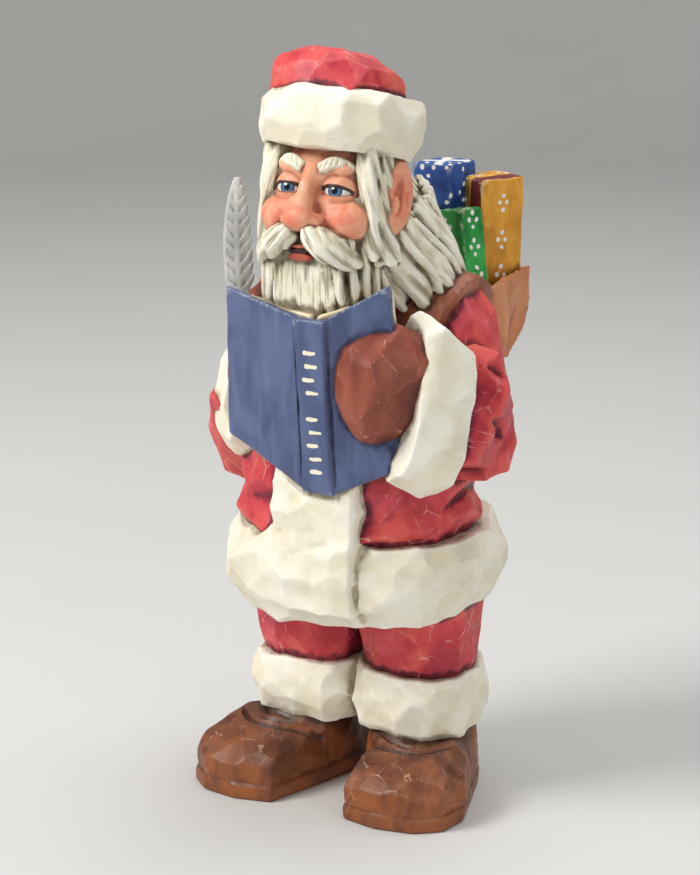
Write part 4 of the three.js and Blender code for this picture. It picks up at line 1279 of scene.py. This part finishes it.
def mark_presents(thing, points):
    """Stores where each corner of a triangle is on its side of the present, and which side that is"""
    mesh = thing.data
    triangles = triangles_of(mesh)
    paint = numbers_of(mesh.polygons, "material_index", 1, np.int32)
    names = [material.name for material in mesh.materials]
    wrap = np.zeros((len(triangles) * 3, 3), np.float32)
    for name, at, _, turn, lean in PRESENTS:
        chosen = np.nonzero(paint == names.index("gift_" + name))[0]
        local = (points[triangles[chosen]] - at) @ present_place(at, turn, lean)[:3, :3]
        normal = np.cross(local[:, 1] - local[:, 0], local[:, 2] - local[:, 0])
        axis = np.abs(normal).argmax(axis=1)
        pairs = np.array([[1, 2], [0, 2], [0, 1]])[axis]
        rows = np.arange(len(chosen))[:, None]
        places = (chosen[:, None] * 3 + np.arange(3)).ravel()
        for k in range(2):
            wrap[places, k] = local[rows, np.arange(3)[None, :], pairs[:, k][:, None]].ravel()
        wrap[places, 2] = np.repeat(axis, 3)
    mesh.attributes.new("wrap", "FLOAT_VECTOR", "CORNER").data.foreach_set("vector", wrap.ravel())


# Paints


def srgb(r, g, b):
    def linear(value):
        value /= 255
        return value / 12.92 if value <= 0.04045 else ((value + 0.055) / 1.055) ** 2.4

    return (linear(r), linear(g), linear(b), 1)


class Paint:
    """Builds a material's nodes; its colour is what the coats so far have made, each over the last"""

    def __init__(self, name, roughness=0.5, specular=0.4):
        self.material = bpy.data.materials.new(name)
        self.material.use_nodes = True
        self.tree = self.material.node_tree
        self.shader = self.tree.nodes["Principled BSDF"]
        self.shader.inputs["Roughness"].default_value = roughness
        self.shader.inputs["Specular IOR Level"].default_value = specular
        self.place = self.node("ShaderNodeTexCoord").outputs["Object"]
        self.colour = None
        self.bumps = []

    def node(self, kind, inputs=(), **settings):
        made = self.tree.nodes.new(kind)
        for key, value in settings.items():
            setattr(made, key, value)
        for key, value in dict(inputs).items():
            if isinstance(value, bpy.types.NodeSocket):
                self.tree.links.new(value, made.inputs[key])
            else:
                made.inputs[key].default_value = value
        return made

    def math(self, operation, *values):
        return self.node("ShaderNodeMath", enumerate(values), operation=operation).outputs[0]

    def on_vectors(self, operation, *values):
        return self.node("ShaderNodeVectorMath", enumerate(values), operation=operation)

    def times(self, *values):
        return functools.reduce(lambda a, b: self.math("MULTIPLY", a, b), values)

    def most(self, *values):
        return functools.reduce(lambda a, b: self.math("MAXIMUM", a, b), values)

    def plus(self, a, b):
        return self.math("ADD", a, b)

    def minus(self, a, b):
        return self.math("SUBTRACT", a, b)

    def flip(self, value):
        return self.minus(1, value)

    def size_of(self, value):
        return self.math("ABSOLUTE", value)

    def below(self, a, b):
        return self.math("LESS_THAN", a, b)

    def above(self, a, b):
        return self.math("GREATER_THAN", a, b)

    def length_of(self, a, b):
        return self.math("SQRT", self.plus(self.times(a, a), self.times(b, b)))

    def between(self, value, low, high):
        """From 0 at low to 1 at high, softly"""
        return self.node("ShaderNodeMapRange", {"Value": value, "From Min": low, "From Max": high},
                         interpolation_type="SMOOTHSTEP").outputs["Result"]

    def number(self, name):
        return self.node("ShaderNodeAttribute", attribute_name=name).outputs["Fac"]

    def vector(self, name):
        return self.node("ShaderNodeAttribute", attribute_name=name).outputs["Vector"]

    def parts_of(self, vector):
        return self.node("ShaderNodeSeparateXYZ", {0: vector}).outputs

    def scaled(self, scale, vector=None):
        """The place on the object, stretched; scale is per metre"""
        if not isinstance(scale, tuple):
            scale = (scale,) * 3
        return self.on_vectors("MULTIPLY", vector or self.place, scale).outputs[0]

    def noise(self, scale, detail=3.0, roughness=0.55, distortion=0.0, vector=None):
        return self.node("ShaderNodeTexNoise", {
            "Vector": self.scaled(scale, vector), "Scale": 1.0, "Detail": detail, "Roughness": roughness,
            "Distortion": distortion}).outputs["Fac"]

    def cloud(self, scale, detail, low, high, roughness=0.55):
        return self.between(self.noise(scale, detail, roughness), low, high)

    def along_axis(self, point, axis, scale=1.0):
        """Millimetres from the point along the axis"""
        start = tuple((np.array(point) + SHIFT) * MM)
        offset = self.on_vectors("SUBTRACT", self.place, start).outputs[0]
        way = tuple(float(v) * scale / MM for v in axis)
        return self.on_vectors("DOT_PRODUCT", offset, way).outputs["Value"]

    def height(self, level=0):
        return self.along_axis((0, 0, level), (0, 0, 1))

    def gap_to(self, point, sizes=(1, 1, 1), placed=None):
        """The distance to a point, in units of the sizes in millimetres along the placed axes"""
        place = np.eye(3) if placed is None else placed[:3, :3]
        parts = [self.along_axis(point, place[:, k], 1 / sizes[k]) for k in range(3)]
        vector = self.node("ShaderNodeCombineXYZ", enumerate(parts)).outputs[0]
        return self.on_vectors("LENGTH", vector).outputs["Value"]

    def mix(self, amount, a, b):
        """Between two colours, each a socket or 0 to 255 for red, green and blue"""
        a, b = (srgb(*shade) if isinstance(shade, tuple) else shade for shade in (a, b))
        return self.node("ShaderNodeMix", {0: amount, 6: a, 7: b}, data_type="RGBA").outputs[2]

    def coat(self, shade, *amounts):
        self.colour = self.mix(self.times(*amounts), self.colour, shade)

    def brushed(self, shades, size, patch=0.22, sharp=0.22):
        """Thin coats of a few shades, that change from cut to cut and in cloudy brush marks"""
        marks = self.between(self.noise(size, 5, 0.6, 0.4), 0.28, 0.72)
        drift = self.plus(self.times(self.number("patch"), patch), marks)
        drift = self.times(drift, 1 / (1 + patch))
        self.colour = shades[0]
        for k, shade in enumerate(shades[1:], 1):
            middle = k / len(shades)
            self.coat(shade, self.between(drift, middle - sharp, middle + sharp))

    def wash_and_shade(self, dark, strength, wide, low=0.05, high=0.5):
        """Thin dark paint that has run into the cuts, and painted shade in the creases and hollows"""
        crease = self.plus(self.number("crease"), self.times(self.number("hollow"), wide))
        uneven = self.plus(self.times(self.cloud(260, 4, 0.25, 0.7), 0.6), 0.4)
        self.coat(dark, self.between(crease, low, high), uneven, strength)

    def wear_and_highlight(self, pale, low, high, amount):
        """Lighter paint on the corners that stand out: wear, and a painted highlight where the light catches
        them
        """
        self.coat(pale, self.between(self.number("worn_and_lit"), low, high), amount)

    def patches(self, scale, cover):
        """Where a mark is at all; cover is how much of the paint has it"""
        middle = 0.7 - 0.25 * cover
        return self.cloud(scale, 3, middle - 0.04, middle + 0.04)

    def ridges(self, pale, width, amount, cover, there=1.0):
        """Worn or dry-brushed lines along the ridges between the cuts"""
        line = self.flip(self.between(self.number("ridge"), width * 0.4, width * 1.3))
        broken = self.cloud(900, 2, 0.3, 0.5)
        self.coat(pale, line, self.patches(70, cover), broken, amount, there)

    def crackle(self, pale, size, cover, amount, there=1.0):
        """A sparse net of fine lines"""
        width = 0.012
        place = {"Vector": self.scaled(size), "Scale": 1.0, "Randomness": 1.0}
        net = self.node("ShaderNodeTexVoronoi", place, feature="DISTANCE_TO_EDGE").outputs["Distance"]
        line = self.flip(self.between(net, width * 0.3, width))
        self.coat(pale, line, self.patches(60, cover), amount, there)

    def finish(self, grain=0.25, fine=0.12):
        """Adds the grain of the wood under the paint, and an uneven gloss"""
        self.tree.links.new(self.colour, self.shader.inputs["Base Color"])
        streaks = self.noise((900, 900, 160), 4)
        specks = self.noise(2600, 2)
        height = self.plus(self.times(streaks, grain), self.times(specks, fine))
        for extra in self.bumps:
            height = self.plus(height, extra)
        bump = self.node("ShaderNodeBump", {"Strength": 0.35, "Distance": 0.0004, "Height": height})
        self.tree.links.new(bump.outputs[0], self.shader.inputs["Normal"])
        low = self.shader.inputs["Roughness"].default_value
        value = self.node("ShaderNodeMapRange", {
            "Value": self.noise(220, 3), "From Min": 0.3, "From Max": 0.7,
            "To Min": low - 0.07, "To Max": low + 0.1}).outputs["Result"]
        self.tree.links.new(value, self.shader.inputs["Roughness"])
        return self.material


def coat_red():
    paint = Paint("coat_red", 0.46)
    paint.brushed([(172, 42, 60), (198, 56, 66), (213, 74, 75), (228, 102, 91)], (75, 75, 50), 0.6)
    paint.coat((230, 106, 90), paint.cloud((32, 32, 24), 4, 0.52, 0.66), 0.55)
    paint.coat((220, 88, 104), paint.cloud((45, 45, 60), 3, 0.52, 0.68), 0.6)
    # Painted highlight and wear on the corners that stand out
    paint.wear_and_highlight((236, 112, 96), 0.15, 0.7, 0.3)
    # Painted shade: crimson in the folds and broad hollows, darker in the creases, together with wash run
    # into the cuts
    paint.wash_and_shade((120, 26, 58), 0.75, wide=1.4, low=0.1, high=0.75)
    paint.wash_and_shade((66, 14, 32), 0.9, wide=0.5, low=0.12, high=0.6)
    belly, shoulder = 125, 185
    low = paint.flip(paint.between(paint.height(), belly, shoulder))
    paint.crackle((244, 200, 190), (75, 75, 60), 0.6, 0.6, low)
    paint.ridges((240, 176, 166), 0.22, 0.35, 0.9)
    return paint.finish()


def fur_white():
    paint = Paint("fur_white", 0.5)
    paint.brushed([(230, 222, 198), (241, 235, 214), (248, 244, 229)], (60, 60, 60), 0.35, 0.3)
    paint.coat((240, 230, 190), paint.cloud((50, 50, 70), 4, 0.5, 0.72), 0.5)
    # Painted shade in the creases and hollows, with wash run into the cuts
    paint.wash_and_shade((138, 120, 88), 0.8, wide=0.5, low=0.06)
    paint.coat((168, 140, 96), paint.cloud(520, 3, 0.71, 0.77, roughness=0.7), 0.5)
    # Painted highlight and wear on the corners that stand out
    paint.wear_and_highlight((250, 248, 240), 0.2, 0.8, 0.5)
    paint.ridges((252, 250, 243), 0.3, 0.3, 0.9)
    return paint.finish(0.3)


def hair_white(name):
    paint = Paint(name, 0.5)
    paint.brushed([(216, 208, 182), (236, 230, 206), (246, 241, 222)], (160, 160, 90), 0.2)
    flow = paint.vector("flow")
    cut = paint.parts_of(flow)[2]
    fine = paint.noise((0.09, 1.5, 0), 3, vector=flow)
    broad = paint.noise((0.05, 0.45, 0), 2, vector=flow)
    streak = paint.between(paint.plus(fine, paint.times(cut, 0.22)), 0.5, 0.68)
    paint.coat((160, 149, 120), streak, paint.between(broad, 0.3, 0.6), 0.75)
    paint.coat((140, 133, 114), paint.between(cut, 0.35, 0.85), paint.between(fine, 0.35, 0.55), 0.6)
    # Painted shade in the creases and hollows, with wash run into the cuts
    paint.wash_and_shade((92, 79, 52), 0.95, wide=0.25, low=0.1, high=0.55)
    # Painted highlight and wear on the ridges and corners of the locks
    paint.wear_and_highlight((246, 243, 230), 0.2, 0.6, 0.7)
    paint.bumps.append(paint.times(fine, 0.5))
    return paint.finish(0.2)


def skin_paint():
    paint = Paint("skin", 0.45)
    paint.brushed([(226, 150, 116), (236, 168, 134), (242, 182, 150)], (120, 120, 120), 0.2)
    spots = [((0, -28.5, -8.6), (6, 6, 5))]
    for side in (-1, 1):
        spots += [((side * 11.8, -20, -8.6), (9, 9, 8)), ((side * 24, -3, 3), (6, 7, 14))]
    gaps = [paint.gap_to(in_place(*centre), sizes, HEAD_PLACE) for centre, sizes in spots]
    blush = paint.most(*(paint.flip(paint.between(gap, 0.35, 1.15)) for gap in gaps))
    paint.coat((226, 104, 84), blush, paint.cloud(260, 4, 0.2, 0.7), 0.7)
    # Painted shade in the creases and hollows, with brown wash run into the cuts
    paint.wash_and_shade((150, 72, 50), 0.75, wide=0.1, low=0.1, high=0.6)
    for side in (-1, 1):
        lid_lines(paint, side)
    return paint.finish(0.15)


def lid_lines(paint, side):
    """A dark line along the edge of each lid"""
    centre = in_place(side * EYE[0], *EYE[1:])
    gap = paint.gap_to(centre)
    on_lid = paint.times(paint.below(gap, LID_RADIUS + 0.35), paint.above(gap, 3))
    front = paint.between(paint.along_axis(centre, HEAD_PLACE[:3, :3] @ vec(0, -1, 0)), 0.8, 2.2)
    for (point, normal), width, dark, strength in (
        (UPPER_LID, 0.75, (34, 22, 20), 0.95), (LOWER_LID, 0.4, (120, 50, 40), 0.6),
    ):
        edge = paint.along_axis(in_place(*point), HEAD_PLACE[:3, :3] @ unit(vec(*normal)))
        line = paint.flip(paint.between(paint.size_of(edge), width - 0.15, width + 0.15))
        paint.coat(dark, line, on_lid, front, strength)


def eye_paint():
    paint = Paint("eye", 0.22, 0.5)
    paint.colour = paint.mix(paint.noise(200, 2), (232, 230, 222), (214, 210, 204))
    for side in (-1, 1):
        iris = in_place(side * EYE[0] + 0.5, EYE[1] - EYE_RADIUS, EYE[2] - 0.1)
        # The small white dot at the upper edge of each pupil is a painted highlight
        light = in_place(side * EYE[0] - 0.2, EYE[1] - EYE_RADIUS, EYE[2] + 0.8)
        for centre, radius, soft, shade in (
            (iris, 2.6, 0.12, (24, 34, 54)), (iris, 2.2, 0.12, (74, 112, 150)),
            (iris, 1.1, 0.12, (10, 10, 12)), (light, 0.5, 0.1, (250, 250, 248)),
        ):
            paint.coat(shade, paint.flip(paint.between(paint.gap_to(centre), radius - soft, radius + soft)))
    return paint.finish(0.0, 0.0)


def plain(name, shades, dark, size=(120, 120, 120), roughness=0.48, pale=None):
    paint = Paint(name, roughness)
    paint.brushed(shades, size, 0.4)
    # Painted shade in the creases and hollows, with wash run into the cuts
    paint.wash_and_shade(dark, 0.8, wide=0.6)
    if pale:
        paint.ridges(pale, 0.2, 0.3, 0.6)
    return paint


def boot_brown():
    paint = Paint("boot_brown", 0.42)
    paint.brushed([(82, 44, 30), (104, 58, 38), (126, 72, 44), (148, 86, 50)], (90, 90, 60), 0.4)
    up = paint.height()
    low = paint.flip(paint.between(up, 9, 19))
    paint.coat((184, 104, 48), low, 0.4, paint.cloud((110, 110, 40), 4, 0.3, 0.7))
    paint.coat((96, 60, 44), paint.between(up, 17, 25), 0.6)
    paint.crackle((206, 172, 144), (110, 110, 90), 0.45, 0.45)
    # Painted shade in the creases and hollows, with wash run into the cuts
    paint.wash_and_shade((36, 20, 14), 0.85, wide=0.7, low=0.08, high=0.6)
    seam = paint.size_of(paint.height(SOLE_THICKNESS))
    paint.coat((48, 28, 20), paint.flip(paint.between(seam, 0.25, 0.6)), 0.35)
    toes = paint.times(paint.between(up, 11, 15),
                       paint.between(paint.along_axis((0, -8, 0), (0, -1, 0)), 0, 14))
    paint.ridges((208, 176, 148), 0.15, 0.55, 1.5, toes)
    return paint.finish(0.35)


def mitten_brown():
    paint = plain("mitten_brown", [(118, 56, 42), (142, 72, 54), (160, 86, 64)], (56, 26, 22), (80, 80, 40))
    paint.ridges((220, 176, 152), 0.15, 0.45, 1.1)
    return paint.finish()


def book_blue():
    paint = Paint("book_blue", 0.46)
    paint.brushed([(70, 80, 116), (80, 92, 130), (92, 104, 142)], (80, 80, 40), 0.2)
    paint.coat((112, 122, 164), paint.cloud((420, 420, 40), 3, 0.5, 0.72), 0.3)
    # Painted shade in the creases and hollows, with wash run into the cuts
    paint.wash_and_shade((26, 30, 58), 0.95, wide=0.3, low=0.1)
    edge = paint.between(paint.number("worn_and_lit"), 0.66, 0.9)
    paint.coat((206, 206, 204), edge, paint.cloud(900, 3, 0.42, 0.62), 0.32)
    paint.coat((240, 234, 206), spine_strokes(paint))
    return paint.finish(0.3)


def spine_strokes(paint):
    """Where the short strokes down the spine are, with a gap after the fourth"""
    pitch, reach, gap_row, last = 4.4, 1.7, 4, 44
    top, bottom = BOOK["top"], BOOK["bottom"]
    down = unit(bottom - top)
    start = lerp(top, bottom, 0.15)
    v = paint.along_axis(start, down)
    u = paint.along_axis(start, unit(np.cross(down, vec(0, 1, 0))))
    row = paint.math("DIVIDE", v, pitch)
    number = paint.math("FLOOR", row)
    up = paint.times(paint.minus(paint.math("FRACT", row), 0.5), pitch)
    sway = paint.times(paint.math("SINE", paint.times(number, 2.4)), 0.7)
    beyond = paint.most(paint.minus(paint.size_of(paint.minus(u, sway)), reach), 0)
    wobble = paint.times(paint.minus(paint.noise(300, 2), 0.5), 1.2)
    stroke = paint.flip(paint.between(paint.plus(paint.length_of(beyond, up), wobble), 0.5, 0.75))
    in_gap = paint.below(paint.size_of(paint.minus(number, gap_row)), 0.5)
    facing = paint.below(paint.along_axis(top, (0, 1, 0)), 6)
    return paint.times(stroke, paint.above(v, 0), paint.below(v, last), paint.flip(in_gap), facing)


def dots(paint, pitch, reach, radius=0.8):
    """White brush dots on a present, four together, in rows of such clusters"""
    *place, code = paint.parts_of(paint.vector("wrap"))
    folded = []
    for value, scale, apart, size in zip(place, (130, 170), (1.3, 2.1), pitch):
        shake = paint.times(paint.minus(paint.noise(scale, 1), 0.5), 2.2)
        value = paint.plus(paint.plus(value, shake), paint.times(code, apart))
        folded.append(paint.math("PINGPONG", value, size / 2))
    near = []
    for x, y in ((reach[0], 0), (0, reach[1])):
        away = paint.length_of(paint.minus(folded[0], x), paint.minus(folded[1], y))
        near.append(paint.flip(paint.between(away, radius * 0.8, radius * 1.15)))
    paint.coat((240, 242, 240), paint.most(*near))


def gift(name, shades, dark, pitch, reach, ribbon=None, top_ribbon=None):
    paint = plain("gift_" + name, shades, dark, (90, 90, 60), 0.42)
    dots(paint, pitch, reach)
    a, b, code = paint.parts_of(paint.vector("wrap"))

    def strip(value, half):
        return paint.below(paint.size_of(value), half)

    if ribbon:
        middle, half, shade = ribbon
        paint.coat(shade, strip(paint.minus(a, middle), half), paint.above(code, 0.5))
    if top_ribbon:
        half, shade = top_ribbon
        one = strip(paint.plus(a, paint.times(b, 0.35)), half)
        two = strip(paint.minus(b, paint.times(a, 0.5)), half)
        paint.coat(shade, paint.most(one, two), paint.above(code, 1.5))
    edge = paint.between(paint.number("worn_and_lit"), 0.5, 0.9)
    paint.coat((240, 230, 200), edge, paint.cloud(500, 3, 0.45, 0.6), 0.35)
    return paint.finish()


def quill_white():
    paint = Paint("quill_white", 0.4)
    paint.colour = paint.mix(paint.cloud((160, 160, 90), 4, 0.35, 0.65), (142, 141, 139), (174, 172, 168))
    # Painted shade: the half of the vane that lies along VANE_SIDE from the stem is darker
    shaded_half = paint.between(paint.along_axis(FOOT, VANE_SIDE), -1, 1.5)
    paint.coat((118, 116, 116), shaded_half, 0.55)
    # Painted shade in the creases and hollows, with wash run into the cuts
    paint.wash_and_shade((74, 72, 72), 0.9, wide=0.2, low=0.03, high=0.3)
    # Painted highlight and wear on the rims and corners that stand out
    paint.wear_and_highlight((226, 226, 223), 0.3, 0.9, 0.35)
    return paint.finish(0.2)


def make_paints():
    white = (236, 236, 228)
    made = [coat_red(), fur_white(), skin_paint(), eye_paint(), boot_brown(), mitten_brown(), book_blue()]
    made += [hair_white(name) for name in ("hair_white", "beard_white", "moustache_white")]
    for name, shades, *others in (
        ("sack_tan", [(176, 108, 68), (196, 126, 84), (212, 146, 104)], (92, 48, 30), (60, 60, 40), 0.48,
         (230, 190, 150)),
        ("strap_brown", [(138, 78, 56), (162, 96, 70), (180, 114, 88)], (60, 30, 22), (110, 110, 70), 0.48,
         (214, 170, 140)),
        ("page_cream", [(222, 208, 166), (238, 228, 196)], (120, 96, 60)),
        ("lip_red", [(178, 84, 66), (196, 104, 84)], (92, 34, 28)),
        ("mouth_dark", [(48, 20, 18), (70, 30, 26)], (20, 8, 8)),
    ):
        made.append(plain(name, shades, *others).finish())
    made += [
        gift("gold", [(204, 136, 36), (226, 160, 52), (238, 182, 78)], (110, 62, 18), (19, 12.5), (1.5, 2.6),
             ribbon=(4, 2.6, (112, 36, 30))),
        gift("green", [(18, 104, 46), (34, 146, 62), (58, 174, 82)], (8, 46, 24), (11, 9.5), (1.7, 2.3)),
        gift("blue", [(28, 60, 124), (44, 84, 160), (62, 104, 180)], (12, 24, 58), (10, 11), (2.2, 2.8),
             top_ribbon=(1.7, white)),
        gift("rear", [(150, 34, 44), (176, 46, 52), (192, 62, 62)], (74, 16, 24), (10, 10), (1.9, 1.9),
             ribbon=(0, 1.8, white)),
    ]
    return {material.name: material for material in made}


# Camera, lights and floor


AZIMUTH, ELEVATION, DISTANCE = math.radians(30), math.radians(14), 900 * MM
SENSOR, FOCAL_PIXELS, PICTURE_HEIGHT = 36, 2656, 875
AIM_HEIGHT, AIM_SIDEWAYS = 121.1, -5.5
LIGHTS_AIM = Vector((0, 0, 0.12))
WORLD_GREY, WORLD_STRENGTH = 0.9, 0.36


def turn_to(thing, way):
    thing.rotation_euler = way.to_track_quat("Z", "Y").to_euler()
    bpy.context.scene.collection.objects.link(thing)


def camera():
    aside = np.array([math.cos(AZIMUTH), math.sin(AZIMUTH), 0])
    target = Vector((aside * AIM_SIDEWAYS + (0, 0, AIM_HEIGHT) + SHIFT) * MM)
    level = math.cos(ELEVATION)
    back = Vector((math.sin(AZIMUTH) * level, -math.cos(AZIMUTH) * level, math.sin(ELEVATION)))
    lens = bpy.data.cameras.new("camera")
    lens.sensor_fit = "VERTICAL"
    lens.sensor_height = SENSOR
    lens.lens = FOCAL_PIXELS / PICTURE_HEIGHT * SENSOR
    lens.clip_start, lens.clip_end = 0.05, 20
    thing = bpy.data.objects.new("camera", lens)
    thing.location = target + back * DISTANCE
    turn_to(thing, back)
    bpy.context.scene.camera = thing


def light(name, place, size, power, colour=(1, 1, 1)):
    lamp = bpy.data.lights.new(name, "AREA")
    lamp.shape, lamp.size, lamp.size_y = "RECTANGLE", size[0], size[1]
    lamp.energy, lamp.color = power, colour
    thing = bpy.data.objects.new(name, lamp)
    thing.location = place
    turn_to(thing, Vector(place) - LIGHTS_AIM)


def backdrop():
    """A floor that bends up into a wall all round"""
    flat, bend, height, around, bend_steps = 1.5, 0.6, 1.9, 64, 12
    profile = [(0.001, 0), (flat, 0)]
    for k in range(1, bend_steps + 1):
        a = math.pi / 2 * k / bend_steps
        profile.append((flat + bend * math.sin(a), bend * (1 - math.cos(a))))
    profile.append((flat + bend, height))
    turns = [2 * math.pi * k / around for k in range(around)]
    points = [(r * math.cos(a), r * math.sin(a), z) for r, z in profile for a in turns]
    faces = []
    for i in range(len(profile) - 1):
        for k in range(around):
            low, high, following = i * around, (i + 1) * around, (k + 1) % around
            faces.append((low + k, low + following, high + following, high + k))
    mesh = bpy.data.meshes.new("floor")
    mesh.from_pydata(points, [], faces)
    mesh.shade_smooth()
    floor = link("floor", mesh)
    paint = Paint("floor", 0.7, 0.2)
    shade = paint.mix(paint.noise(6, 2), (206, 206, 204), (214, 214, 212))
    paint.tree.links.new(shade, paint.shader.inputs["Base Color"])
    mesh.materials.append(paint.material)


def studio():
    camera()
    light("key", (-0.62, -0.78, 0.95), (0.55, 0.55), 14, (1, 0.985, 0.96))
    light("fill", (1.1, -0.7, 0.55), (0.9, 0.9), 4, (0.96, 0.98, 1))
    light("top", (0.1, 0.35, 1.2), (0.9, 0.7), 7)
    world = bpy.data.worlds.new("world")
    bpy.context.scene.world = world
    world.use_nodes = True
    background = world.node_tree.nodes["Background"]
    background.inputs["Color"].default_value = (WORLD_GREY, WORLD_GREY, WORLD_GREY, 1)
    background.inputs["Strength"].default_value = WORLD_STRENGTH
    bpy.context.scene.view_settings.view_transform = "Standard"
    backdrop()


def painted_skin(volume, name, density, paint):
    thing = skin_of(volume, name, density)
    thing.data.materials.clear()
    thing.data.materials.append(paint)
    return thing


def main():
    studio()
    paints = make_paints()
    skins, volumes = [], {}
    for number, (name, volume, density) in enumerate(regions()):
        skins.append(painted_skin(volume, f"region_{number}", density, paints[name]))
        volume.values = None
        volumes.setdefault(name, []).append(volume)
    figure = join_skins(skins)
    figure.name = "santa_carved"
    finish_piece(figure, volumes)
    feather = painted_skin(quill(), "feather_carved", 14, quill_white())
    finish_piece(feather, {})
    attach(figure, "root")
    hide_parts("santa_carving")
    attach(feather, "root")
    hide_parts("feather_quill")


def finish_piece(thing, volumes):
    """Cuts faces into triangles, marks the mesh for its paints, and sets it in the frame"""
    thing.modifiers.new("split", "TRIANGULATE")
    settle(thing)
    points = mark_shape(thing)
    if volumes:
        mark_cuts(thing, points, volumes)
        mark_presents(thing, points)
    thing.data.vertices.foreach_set("co", ((points + SHIFT) * MM).astype(np.float32).ravel())
    thing.data.shade_smooth()
    thing.data.set_sharp_from_angle(angle=SHARP_ANGLE)
    even = thing.modifiers.new("even", "WEIGHTED_NORMAL")
    even.keep_sharp = True
    settle(thing)


main()
